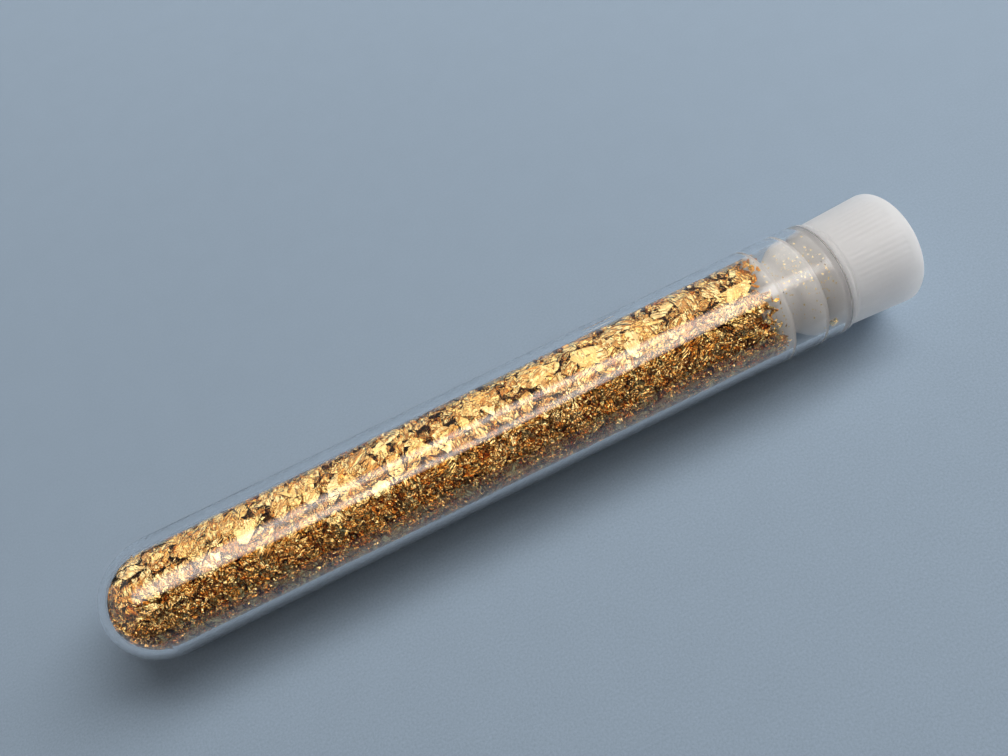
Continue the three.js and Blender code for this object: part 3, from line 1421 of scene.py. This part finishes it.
@dataclass
class Leaves:
    """Many leaves that are laid against the bore and joined into one piece.

    Attributes:
        tube: the tube they lie in.
        points: the vertices laid so far, in millimetres on the vial's axis.
        faces: the faces laid so far.
        marks: the vertices' values of each attribute.
        count: number of vertices laid so far.
        softness: how gently a leaf bends where it meets the wall, in millimetres.
    """

    tube: Tube
    points: list[np.ndarray] = field(default_factory=list)
    faces: list[tuple[int, ...]] = field(default_factory=list)
    marks: dict[str, list[np.ndarray]] = field(default_factory=lambda: {"tone": [], "crush": []})
    count: int = 0
    softness: float = 0.03

    def wall_frame(self, station: float, turn: float) -> tuple[np.ndarray, np.ndarray, np.ndarray]:
        """A spot on the bore and the two directions along the wall there.

        Args:
            station: the spot's station. On the round end, equal steps take in equal areas.
            turn: its turn about the axis in radians.

        Returns:
            The spot, the direction towards the mouth and the direction round the wall.
        """
        round_wall = np.array([0.0, math.sin(turn), math.cos(turn)])
        across = np.array([0.0, math.cos(turn), -math.sin(turn)])
        centre = self.tube.bore_centre
        if station >= centre:
            spot = np.array([station, 0.0, 0.0]) + round_wall * self.tube.bore_at(station)
            return spot, np.array([1.0, 0.0, 0.0]), across
        radius = self.tube.bore_at_bottom
        back = max((station - centre) / radius, -1.0)
        out = math.sqrt(1 - back * back)
        normal = np.array([back, 0.0, 0.0]) + round_wall * out
        spot = np.array([centre, 0.0, 0.0]) + normal * radius
        return spot, np.array([out, 0.0, 0.0]) - round_wall * back, across

    def press(self, flat: np.ndarray, depth: np.ndarray, gap: float) -> np.ndarray:
        """Presses points against the wall.

        Args:
            flat: points near the wall.
            depth: how far inside the wall each one would lie if it weren't held by the wall.
            gap: the least gap to the wall.

        Returns:
            The pressed points.
        """
        centre = self.tube.bore_centre
        along = flat[:, 0]
        middle = np.zeros_like(flat)
        middle[:, 0] = np.maximum(along, centre)
        away = flat - middle
        reach = np.linalg.norm(away, axis=1, keepdims=True)
        wall = np.where(along >= centre, self.tube.bore_at(along), self.tube.bore_at_bottom)
        free = depth - gap
        held = gap + (free + np.sqrt(free * free + self.softness**2)) / 2
        return middle + away / reach * (wall - held)[:, None]

    def lay(self, sheet: LeafSheet, lie: Lie) -> None:
        """Lays one leaf.

        Args:
            sheet: the cut leaf.
            lie: where and how it lies.
        """
        size = (lie.length + lie.width) / 4
        local = sheet.points * np.array([lie.length / 2, lie.width / 2, size * lie.relief])
        tip = np.array(Euler((math.radians(lie.tilt), 0.0, math.radians(lie.spin))).to_matrix())
        local = local @ tip.T
        spot, along, across = self.wall_frame(lie.station, math.radians(lie.turn))
        flat = spot + local[:, :1] * along + local[:, 1:2] * across
        self.points.append(self.press(flat, lie.depth - local[:, 2], lie.gap))
        self.faces.extend(tuple(i + self.count for i in face[::-1]) for face in sheet.faces)
        for mark, value in (("tone", lie.tone), ("crush", min(lie.relief, 1.0))):
            self.marks[mark].append(np.full(len(local), value))
        self.count += len(local)

    def piece(self, name: str, sharp: float = 12.0) -> bpy.types.Object:
        """Joins what has been laid into one piece.

        Args:
            name: the piece's name.
            sharp: angle in degrees over which a crease stays sharp.

        Returns:
            The piece.
        """
        mesh = bpy.data.meshes.new(name)
        mesh.from_pydata(np.concatenate(self.points), [], self.faces)
        mesh.transform(self.tube.axis.matrix())
        for mark, values in self.marks.items():
            mesh.attributes.new(mark, "FLOAT", "POINT").data.foreach_set("value", np.concatenate(values))
        mesh.shade_smooth()
        mesh.set_sharp_from_angle(angle=math.radians(sharp))
        piece = bpy.data.objects.new(name, mesh)
        bpy.context.scene.collection.objects.link(piece)
        return piece


@dataclass(frozen=True)
class Packing:
    """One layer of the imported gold.

    Attributes:
        name: the piece's name.
        kind: the kind of leaf.
        patterns: how many different leaves it is laid from.
        count: number of leaves.
        length: shortest and longest leaf, in millimetres.
        slim: narrowest and widest share of its length that a leaf's width is.
        depth: least and greatest depth inside the wall.
        tilt: the greatest tip of most leaves, in degrees.
        steep: share of leaves that stand steeply.
        relief: least and greatest share of the crumpling that a leaf keeps.
        tone: lowest and highest tone.
        short: how far before the fill's end this layer ends.
        sink: how much deeper it lies on the -Y side.
        turns: the turns that it spans, in degrees.
    """

    name: str
    kind: Cut
    patterns: int
    count: int
    length: Span
    slim: Span
    depth: Span
    tilt: float
    steep: float
    relief: Span
    tone: Span
    short: float = 0.0
    sink: float = 0.0
    turns: Span = (0.0, 360.0)


PACKINGS = (
    Packing(
        "wall_leaves", Cut.BROAD, patterns=48, count=740, length=(2.2, 5.0), slim=(0.5, 1.0),
        depth=(0.0, 0.25), tilt=3, steep=0.0, relief=(0.2, 1.1), tone=(0.0, 0.5), short=1.1, sink=0.35,
    ),
    Packing(
        "crushed_leaves", Cut.BROAD, patterns=48, count=700, length=(1.4, 3.0), slim=(0.5, 1.0),
        depth=(0.1, 0.5), tilt=16, steep=0.1, relief=(0.8, 2.0), tone=(0.0, 0.6), short=0.7,
    ),
    Packing(
        "outer_flakes", Cut.SMALL, patterns=40, count=2600, length=(0.6, 1.8), slim=(0.4, 1.0),
        depth=(0.02, 0.4), tilt=30, steep=0.3, relief=(0.6, 1.6), tone=(0.0, 0.7), short=0.2,
    ),
    Packing(
        "inner_flakes", Cut.SMALL, patterns=30, count=1100, length=(1.4, 2.8), slim=(0.5, 1.0),
        depth=(0.5, 0.9), tilt=25, steep=0.3, relief=(1.0, 1.6), tone=(0.3, 0.9), short=0.9,
    ),
    Packing(
        "slivers", Cut.SLIVER, patterns=20, count=2200, length=(0.25, 0.9), slim=(0.2, 0.7),
        depth=(0.02, 0.3), tilt=50, steep=0.4, relief=(0.5, 1.5), tone=(0.0, 0.6),
    ),
    Packing(
        "sparks", Cut.SLIVER, patterns=20, count=2600, length=(0.12, 0.42), slim=(0.4, 1.0),
        depth=(0.0, 0.14), tilt=50, steep=0.9, relief=(0.2, 0.4), tone=(0.0, 0.25), turns=(-100.0, -30.0),
    ),
)

# Steps, as shares of the length and of the turns, that scatter any number of leaves evenly.
EVEN_STEP_ALONG = 0.7548776662
EVEN_STEP_ROUND = 0.5698402910


@dataclass
class GoldFill:
    """The gold that is packed into the bore.

    Attributes:
        tube: the tube that holds it.
        start: station of its first leaves.
        end: station where it ends, at the turn where it is shortest.
        end_turn: that turn, in degrees.
        end_reach: how much further it reaches a quarter turn away.
        core_end: station where the mass deep inside ends.
        core_radius: radius of the crumpled mass deep inside.
        core_step: length of its faces along the vial.
        core_faces: number of its faces round the vial.
        core_relief: depth of its large and its small crumples.
        core_crumples: how many of each there are in a millimetre, roughly.
        core_marks: its tone and how crushed it is; its copper tone is painted shade, so that the gaps
            between the flakes look dark.
        crumple: how much more the leaves are crumpled on the -Y side.
        copper: how much nearer to copper their tone is there, as painted shade on that side.
        spread_along: how far a leaf strays along the vial from an even scatter.
        spread_round: how far it strays round it, in degrees.
        steep_tilt: least and greatest tip of a leaf that stands steeply, in degrees.
        steep_spin: how far from the vial's length such a leaf may be turned on the -Y side, in degrees.
        gap: least and greatest gap that a leaf keeps to the wall.
        seed: seed of the chance.
    """

    tube: Tube
    start: float = 0.8
    end: float = 68.1
    end_turn: float = -45.0
    end_reach: float = 1.3
    core_end: float = 67.2
    core_radius: float = 4.15
    core_step: float = 0.6
    core_faces: int = 48
    core_relief: Span = (0.35, 0.12)
    core_crumples: Span = (1.1, 3.1)
    core_marks: Span = (0.6, 0.8)
    crumple: float = 1.0
    copper: float = 0.12
    spread_along: float = 0.3
    spread_round: float = 6.0
    steep_tilt: Span = (30.0, 75.0)
    steep_spin: float = 70.0
    gap: Span = (0.01, 0.08)
    seed: int = 7

    def end_at(self, turn: float) -> float:
        """The fill's last station at a turn in degrees: it creeps past the plug's end above and below."""
        away = math.cos(math.radians(turn - self.end_turn))
        return self.end + self.end_reach * min(1 - away, 1.0)

    def build_core(self, finishes: Finishes) -> bpy.types.Object:
        """Builds the crumpled mass that closes the view between the flakes.

        Args:
            finishes: the vial's materials.

        Returns:
            The mass.
        """
        inset = self.tube.bore_at_bottom - self.core_radius
        centre = self.tube.bore_centre
        straight = np.arange(centre + self.core_step, self.core_end, self.core_step)
        profile = [
            *arc_points(centre, self.core_radius, 0, 90, 12),
            *[(float(station), self.core_radius) for station in straight],
            (self.core_end, self.core_radius - inset),
            (self.core_end + 0.2, self.core_radius / 2),
            (self.core_end + 0.2, 0.0),
        ]
        bm = turn_profile(profile, self.core_faces)
        large, small = self.core_relief
        broad, fine = self.core_crumples
        for vert in bm.verts:
            lift = large * abs(noise.noise(vert.co * broad)) + small * noise.noise(vert.co * fine)
            vert.co.yz *= 1 - lift / self.core_radius
        piece = settle(bm, "deep_gold_mass", self.tube.axis, sharp=25.0)
        # Its copper tone is painted shade for the dark gaps between the flakes.
        for mark, value in zip(("tone", "crush"), self.core_marks):
            values = piece.data.attributes.new(mark, "FLOAT", "POINT")
            values.data.foreach_set("value", np.full(len(piece.data.vertices), value))
        return dress(piece, finishes.deep, "gold_flakes", "gold_bed")

    def lie_of(self, packing: Packing, order: int, dice: random.Random) -> Lie:
        """Decides how one leaf of a layer lies.

        Args:
            packing: the layer.
            order: the leaf's place in the layer's even scatter.
            dice: the layer's seeded chance.

        Returns:
            How it lies.
        """
        first, last = packing.turns
        share = (0.5 + order * EVEN_STEP_ROUND) % 1.0
        turn = first + (last - first) * share + dice.uniform(-self.spread_round, self.spread_round)
        end = self.end_at(turn) - packing.short
        share = (0.5 + order * EVEN_STEP_ALONG) % 1.0
        stray = dice.uniform(-self.spread_along, self.spread_along)
        station = self.start + (end - self.start) * share + stray
        length = dice.uniform(*packing.length)
        below = max(-math.sin(math.radians(turn)), 0.0)
        steep = dice.random() < packing.steep * (1 + below)
        crumple = 1 + self.crumple * below
        spins = (-self.steep_spin, self.steep_spin) if steep and below else (0.0, 360.0)
        tilts = self.steep_tilt if steep else (-packing.tilt, packing.tilt)
        return Lie(
            station=min(max(station, self.start), end),
            turn=turn,
            length=length,
            width=length * dice.uniform(*packing.slim),
            spin=dice.uniform(*spins),
            depth=dice.uniform(*packing.depth) + packing.sink * below,
            tilt=dice.uniform(*tilts) * (-1 if steep else crumple),
            relief=dice.uniform(*packing.relief) * crumple,
            # On the -Y side the tone leans towards copper: painted shade.
            tone=dice.uniform(*packing.tone) + self.copper * below,
            gap=dice.uniform(*self.gap),
        )

    def build_packing(self, packing: Packing, order: int, finishes: Finishes) -> bpy.types.Object:
        """Builds one layer of leaves.

        Args:
            packing: the layer.
            order: its place among the layers, which seeds its chance.
            finishes: the vial's materials.

        Returns:
            The layer.
        """
        cutter = LeafCutter(self.seed + 100 * order)
        dice = random.Random(self.seed + 100 * order + 1)
        sheets = [cutter.cut(packing.kind) for _ in range(packing.patterns)]
        leaves = Leaves(self.tube)
        for i in range(packing.count):
            lie = self.lie_of(packing, i, dice)
            leaves.lay(dice.choice(sheets), lie)
        finish = finishes.leaf if packing.kind is Cut.BROAD else finishes.flakes
        return dress(leaves.piece(packing.name), finish, "gold_flakes")

    def build(self, finishes: Finishes) -> list[bpy.types.Object]:
        """Builds the whole fill.

        Args:
            finishes: the vial's materials.

        Returns:
            Its pieces.
        """
        layers = [self.build_packing(packing, i, finishes) for i, packing in enumerate(PACKINGS)]
        return [self.build_core(finishes), *layers]


@dataclass
class GreatLeaves:
    """The largest leaves, each one a piece of its own against the wall.

    Attributes:
        tube: the tube that holds them.
        margin: how much longer and wider each one is than the frame's thick stand-in.
        spin: how far from the vial's length it may be turned, in degrees.
        relief: least and greatest share of its crumpling that it keeps.
        tone: lowest and highest tone.
        seed: seed of the chance.
    """

    tube: Tube
    margin: float = 1.08
    spin: float = 15.0
    relief: Span = (0.6, 1.3)
    tone: Span = (0.0, 0.35)
    seed: int = 31

    def build(self, finishes: Finishes) -> list[bpy.types.Object]:
        """Builds the leaves where the frame has them.

        Args:
            finishes: the vial's materials.

        Returns:
            The leaves.
        """
        names = sorted(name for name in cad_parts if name.startswith("leaf_"))
        return [self.build_leaf(name, order, finishes) for order, name in enumerate(names)]

    def build_leaf(self, name: str, order: int, finishes: Finishes) -> bpy.types.Object:
        """Builds one leaf.

        Args:
            name: the frame's node.
            order: its place among the leaves, which seeds its chance.
            finishes: the vial's materials.

        Returns:
            The leaf.
        """
        low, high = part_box(name)
        station, turn = self.tube.axis.spot_of((low + high) / 2)
        dice = random.Random(self.seed + order)
        leaves = Leaves(self.tube)
        lie = Lie(
            station=station,
            turn=turn,
            length=(high.x - low.x) / MM * self.margin,
            width=math.hypot(high.y - low.y, high.z - low.z) / MM * self.margin,
            spin=dice.uniform(-self.spin, self.spin),
            depth=0.05,
            relief=dice.uniform(*self.relief),
            tone=dice.uniform(*self.tone),
            gap=0.02,
        )
        leaves.lay(LeafCutter(self.seed + order).cut(Cut.GREAT), lie)
        return dress(leaves.piece("gold_" + name), finishes.leaf, "gold_leaf", name)


LAST_FLAKES = (
    Lie(67.3, 30, 1.05, 0.8, spin=80, depth=0.15, tilt=14, tone=0),
    Lie(66.2, 35, 1.4, 1.0, depth=0.05, relief=0.4, tone=0.54),
    Lie(66.6, 25, 1.5, 1.1, spin=30, depth=0.05, relief=0.3, tone=0.03),
    Lie(68.3, 21, 0.9, 0.7, spin=20, depth=0.2, tilt=20, tone=0.48),
    Lie(68.6, 16, 0.7, 0.45, spin=70, depth=0.1, tilt=-20, tone=0.57),
    Lie(69.0, 12, 0.7, 0.35, spin=40, depth=0.05, tone=0),
    Lie(68.7, 14, 0.5, 0.3, spin=110, depth=0.1, tone=0),
    Lie(67.7, 10, 1.0, 0.6, spin=25, depth=0.3, tilt=50, tone=0.6),
    Lie(67.6, -15, 1.4, 1.1, spin=15, depth=0.1, relief=1.2, tone=0.18),
    Lie(68.1, -20, 0.7, 0.5, spin=60, depth=0.15, tilt=30, tone=0.45),
    Lie(68.4, -23, 0.6, 0.4, spin=10, depth=0.1, tilt=-40, tone=0.54),
    Lie(68.7, -27, 0.55, 0.35, spin=35, depth=0.1, tilt=25, tone=0.24),
    Lie(69.0, -30, 0.5, 0.35, spin=75, depth=0.05, tilt=10, tone=0.06),
    Lie(67.1, -37, 1.3, 0.6, spin=85, depth=0.1, tilt=15, tone=0.03),
    Lie(67.8, -49, 0.8, 0.25, spin=30, depth=0.05, tilt=-35, tone=0.06),
    Lie(68.4, -51, 0.6, 0.2, spin=60, depth=0.05, tilt=-40, tone=0.12),
    Lie(68.5, -70, 0.35, 0.25, depth=0.05, tone=0),
    Lie(67.9, -84, 0.9, 0.6, spin=20, depth=0.1, tilt=-45, tone=0.3),
    Lie(68.0, 44, 1.0, 0.7, spin=20, depth=0.1, tilt=20, tone=0.3),
)


@dataclass
class LooseGold:
    """The flakes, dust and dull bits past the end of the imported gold.

    Attributes:
        tube: the tube that holds them.
        dust: number of grains of gold dust, and the shortest and longest of them.
        bits: the same of the dull bits.
        span: first and last station of both.
        above: middle and spread, in degrees, of the turns where most of them stick.
        most: share of them that sticks there.
        seed: seed of the chance.
    """

    tube: Tube
    dust: tuple[int, Span] = (220, (0.08, 0.24))
    bits: tuple[int, Span] = (10, (0.08, 0.3))
    span: Span = (68.2, 74.2)
    above: Span = (-8.0, 24.0)
    most: float = 0.7
    seed: int = 53

    def build_last_flakes(self, finishes: Finishes) -> bpy.types.Object:
        """Builds the ragged last flakes beside the plug.

        Args:
            finishes: the vial's materials.

        Returns:
            The flakes.
        """
        cutter = LeafCutter(self.seed)
        leaves = Leaves(self.tube)
        for lie in LAST_FLAKES:
            leaves.lay(cutter.cut(Cut.BROAD if lie.length > 1 else Cut.SMALL), lie)
        return dress(leaves.piece("last_flakes"), finishes.flakes, "gold_flakes")

    def build_grains(
        self, name: str, count: int, size: Span, finish: bpy.types.Material
    ) -> bpy.types.Object:
        """Builds grains that stick to the wall round the plug, more of them on its upper side.

        Args:
            name: the piece's name.
            count: number of grains.
            size: shortest and longest grain.
            finish: the grains' material.

        Returns:
            The grains.
        """
        cutter = LeafCutter(self.seed + count)
        dice = random.Random(self.seed + count)
        sheets = [cutter.cut(Cut.SLIVER) for _ in range(8)]
        leaves = Leaves(self.tube)
        for _ in range(count):
            length = dice.uniform(*size)
            lie = Lie(
                station=dice.uniform(*self.span),
                turn=dice.gauss(*self.above) if dice.random() < self.most else dice.uniform(-180, 180),
                length=length,
                width=length * dice.uniform(0.5, 1.0),
                spin=dice.uniform(0, 360),
                depth=0.02,
                tilt=dice.uniform(-14, 14),
                relief=0.3,
                tone=dice.uniform(0.0, 0.2),
                gap=0.01,
            )
            leaves.lay(dice.choice(sheets), lie)
        return dress(leaves.piece(name), finish, "gold_flakes")

    def build_stray(self, finishes: Finishes) -> bpy.types.Object:
        """Builds the one flake that slipped past the fins.

        Args:
            finishes: the vial's materials.

        Returns:
            The flake.
        """
        low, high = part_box("stray_flake")
        station, turn = self.tube.axis.spot_of((low + high) / 2)
        lies = (
            Lie(station, turn, 0.95, 0.7, spin=20, depth=0.3, tilt=-45, relief=0.6, tone=0),
            Lie(station + 0.2, turn + 4, 0.6, 0.5, spin=-20, depth=0.25, tilt=-60, relief=0.8),
        )
        leaves = Leaves(self.tube)
        cutter = LeafCutter(self.seed + 5)
        for lie in lies:
            leaves.lay(cutter.cut(Cut.SMALL), lie)
        return dress(leaves.piece("loose_flake"), finishes.flakes, "gold_leaf", "stray_flake")

    def build(self, finishes: Finishes) -> list[bpy.types.Object]:
        """Builds all the loose gold.

        Args:
            finishes: the vial's materials.

        Returns:
            Its pieces.
        """
        return [
            self.build_last_flakes(finishes),
            self.build_grains("gold_dust", *self.dust, finishes.dust),
            self.build_grains("dull_bits", *self.bits, finishes.tarnish),
            self.build_stray(finishes),
        ]


# ---- The floor, the lights and the camera ----


@dataclass(frozen=True)
class Camera:
    """The camera, in metres and degrees.

    Attributes:
        target: the point in the middle of its view.
        distance: how far away it stands.
        azimuth: its bearing, where 0 looks along +Y.
        elevation: its height above the horizon.
        roll: how far it is turned about its own line of sight.
        lens: focal length in millimetres.
        sensor: the sensor's width in millimetres.
        nearest: the nearest that it sees.
    """

    target: Vector3 = (1.9 * MM, 5.1 * MM, 5.85 * MM)
    distance: float = 72.5 * MM
    azimuth: float = -6.88
    elevation: float = 64.28
    roll: float = -19.51
    lens: float = 25.97
    sensor: float = 36.0
    nearest: float = 5.0 * MM

    def build(self) -> None:
        """Builds the camera and looks through it."""
        data = bpy.data.cameras.new("camera")
        data.lens = self.lens
        data.sensor_width = self.sensor
        data.clip_start = self.nearest
        camera = bpy.data.objects.new("camera", data)
        turn = Matrix.Rotation(math.radians(self.azimuth), 4, "Z")
        tip = Matrix.Rotation(math.radians(90 - self.elevation), 4, "X")
        roll = Matrix.Rotation(math.radians(self.roll), 4, "Z")
        back = Matrix.Translation((0.0, 0.0, self.distance))
        camera.matrix_world = Matrix.Translation(self.target) @ turn @ tip @ roll @ back
        bpy.context.scene.collection.objects.link(camera)
        bpy.context.scene.camera = camera


def set_on_stage(name: str, mesh: bpy.types.Mesh, finish: bpy.types.Material, *unseen: str) -> None:
    """Puts a piece of the stage up.

    Args:
        name: its name.
        mesh: its mesh.
        finish: its material.
        unseen: the kinds of rays that pass it by.
    """
    prop = bpy.data.objects.new(name, mesh)
    bpy.context.scene.collection.objects.link(prop)
    mesh.materials.append(finish)
    for rays in unseen:
        setattr(prop, "visible_" + rays, False)


@dataclass(frozen=True)
class RingLamp:
    """The oval ring lamp that hangs over the vial, in metres.

    Attributes:
        middle: the lamp's middle.
        half_length: from its middle to its rim along the vial.
        half_width: the same, across the vial.
        turn: how far the oval is turned, in degrees.
        rings: number of rings of faces.
        steps: faces round each ring.
    """

    middle: Vector3 = (-0.018, -0.016, 0.4)
    half_length: float = 0.3
    half_width: float = 0.171
    turn: float = -6.0
    rings: int = 16
    steps: int = 96

    def build(self, finish: bpy.types.Material) -> None:
        """Builds the lamp, which only shows in reflections and through the tube.

        Args:
            finish: the lamp's face.
        """
        bm = turn_profile([(0.0, i / self.rings) for i in range(self.rings + 1)], self.steps)
        mesh = bpy.data.meshes.new("ring_lamp")
        bm.to_mesh(mesh)
        bm.free()
        reach = mesh.attributes.new("reach", "FLOAT", "POINT")
        reach.data.foreach_set("value", [vert.co.length for vert in mesh.vertices])
        level = Matrix.Rotation(math.pi / 2, 4, "Y")
        oval = Matrix.Diagonal((self.half_length, self.half_width, 1.0, 1.0))
        turned = Matrix.Rotation(math.radians(self.turn), 4, "Z")
        mesh.transform(Matrix.Translation(self.middle) @ turned @ oval @ level)
        set_on_stage("ring_lamp", mesh, finish, "camera", "diffuse")


class Task(Enum):
    """What a soft light is there for."""

    LIGHT = "it lights the card and the plastic, and doesn't show in reflections"
    SHEEN = "it shows in reflections, and lights nothing matt"


@dataclass(frozen=True)
class Panel:
    """A soft rectangular light that looks at the vial.

    Attributes:
        name: its name.
        task: what it is there for.
        middle: its middle, in metres.
        size: its level extent and its other side, in metres.
        radiance: its brightness.
        colour: its colour.
    """

    name: str
    task: Task
    middle: Vector3
    size: Span
    radiance: float
    colour: Vector3 = (1.0, 0.98, 0.96)

    def build(self) -> None:
        """Builds the light."""
        data = bpy.data.lights.new(self.name, "AREA")
        data.shape = "RECTANGLE"
        data.size, data.size_y = self.size
        data.energy = self.radiance * math.pi * self.size[0] * self.size[1]
        data.color = self.colour
        light = bpy.data.objects.new(self.name, data)
        tip = math.atan2(-self.middle[1], self.middle[2])
        lean = math.atan2(self.middle[0], math.hypot(*self.middle[1:]))
        light.matrix_world = (
            Matrix.Translation(self.middle) @ Matrix.Rotation(tip, 4, "X") @ Matrix.Rotation(lean, 4, "Y")
        )
        light.visible_camera = False
        light.visible_diffuse = self.task is Task.LIGHT
        light.visible_glossy = self.task is Task.SHEEN
        light.visible_transmission = self.task is Task.SHEEN
        bpy.context.scene.collection.objects.link(light)


@dataclass(frozen=True)
class Sheet:
    """A flat sheet of the stage, in metres and degrees.

    Attributes:
        name: its name.
        length: its side along the vial.
        width: its other side.
        turn: how far it is turned about the vial's length, where 0 lies flat.
        away: how far its middle then is from the origin, the way it faces.
        lift: how much higher it stands.
        unseen: the kinds of rays that pass it by.
    """

    name: str
    length: float
    width: float
    turn: float = 0.0
    away: float = 0.0
    lift: float = 0.0
    unseen: tuple[str, ...] = ()

    def build(self, finish: bpy.types.Material) -> None:
        """Builds the sheet.

        Args:
            finish: its material.
        """
        place = Matrix.Rotation(math.radians(-self.turn), 4, "X") @ Matrix.Translation((0.0, 0.0, self.away))
        half = Matrix.Diagonal((self.length / 2, self.width / 2, 1.0, 1.0))
        bm = bmesh.new()
        matrix = Matrix.Translation((0.0, 0.0, self.lift)) @ place @ half
        bmesh.ops.create_grid(bm, x_segments=1, y_segments=1, size=1.0, matrix=matrix)
        mesh = bpy.data.meshes.new(self.name)
        bm.to_mesh(mesh)
        bm.free()
        set_on_stage(self.name, mesh, finish, *self.unseen)


@dataclass(frozen=True)
class Studio:
    """The floor, the flag, the glow and the lights.

    Attributes:
        floor: the card that the vial lies on.
        flag: the dark cloth on the -Y side, which only shows in reflections.
        glow: the broad light that only the gold inside the tube sees.
        panels: the soft lights.
        sky: colour of the dim light from all round.
        sky_strength: its strength.
    """

    floor: Sheet = Sheet("floor", 4.0, 4.0)
    flag: Sheet = Sheet(
        "flag", 0.5, 0.06, turn=90.0, away=-0.045, lift=0.03,
        unseen=("camera", "diffuse", "transmission", "shadow"),
    )
    glow: Sheet = Sheet(
        "glow", 2.0, 2.08, turn=28.0, away=0.6, unseen=("camera", "diffuse", "glossy", "shadow")
    )
    panels: tuple[Panel, ...] = (
        Panel("window", Task.SHEEN, (0.1, 0.42, 0.36), (1.5, 0.95), 0.16),
        Panel("side", Task.SHEEN, (-0.5, 0.0, 0.3), (0.5, 0.8), 0.3),
        Panel("end", Task.SHEEN, (0.55, 0.05, 0.28), (0.5, 0.8), 0.35),
        Panel("key", Task.LIGHT, (0.47, 0.26, 0.75), (1.2, 0.5), 6.5),
        Panel("fill", Task.LIGHT, (0.05, -0.085, 0.3), (0.5, 0.137), 0.58),
        Panel("front", Task.LIGHT, (0.1, -0.6, 0.09), (0.9, 0.1), 3.4),
    )
    sky: Colour = (0.95, 0.98, 1.03, 1.0)
    sky_strength: float = 0.035

    def build(self, finishes: Finishes) -> None:
        """Builds the stage and its lights.

        Args:
            finishes: the materials.
        """
        self.floor.build(finishes.card)
        self.flag.build(finishes.cloth)
        self.glow.build(finishes.glow)
        RingLamp().build(finishes.lamp)
        for panel in self.panels:
            panel.build()
        scene = bpy.context.scene
        scene.view_settings.view_transform = "Standard"
        scene.world = bpy.data.worlds.new("soft_sky")
        scene.world.use_nodes = True
        sky = scene.world.node_tree.nodes["Background"]
        sky.inputs["Color"].default_value = self.sky
        sky.inputs["Strength"].default_value = self.sky_strength


def main() -> None:
    """Builds the vial, the studio and the camera, in order."""
    logging.basicConfig(level=logging.INFO, format="%(message)s")
    finishes = Finishes()
    Camera().build()
    Studio().build(finishes)
    tube = Tube(VialAxis.of_frame())
    pieces = [
        tube.build(finishes),
        Stopper(tube).build(finishes),
        *GoldFill(tube).build(finishes),
        *GreatLeaves(tube).build(finishes),
        *LooseGold(tube).build(finishes),
    ]
    for piece in pieces:
        LOG.info("%s: %d faces", piece.name, len(piece.data.polygons))


if __name__ == "__main__":
    main()
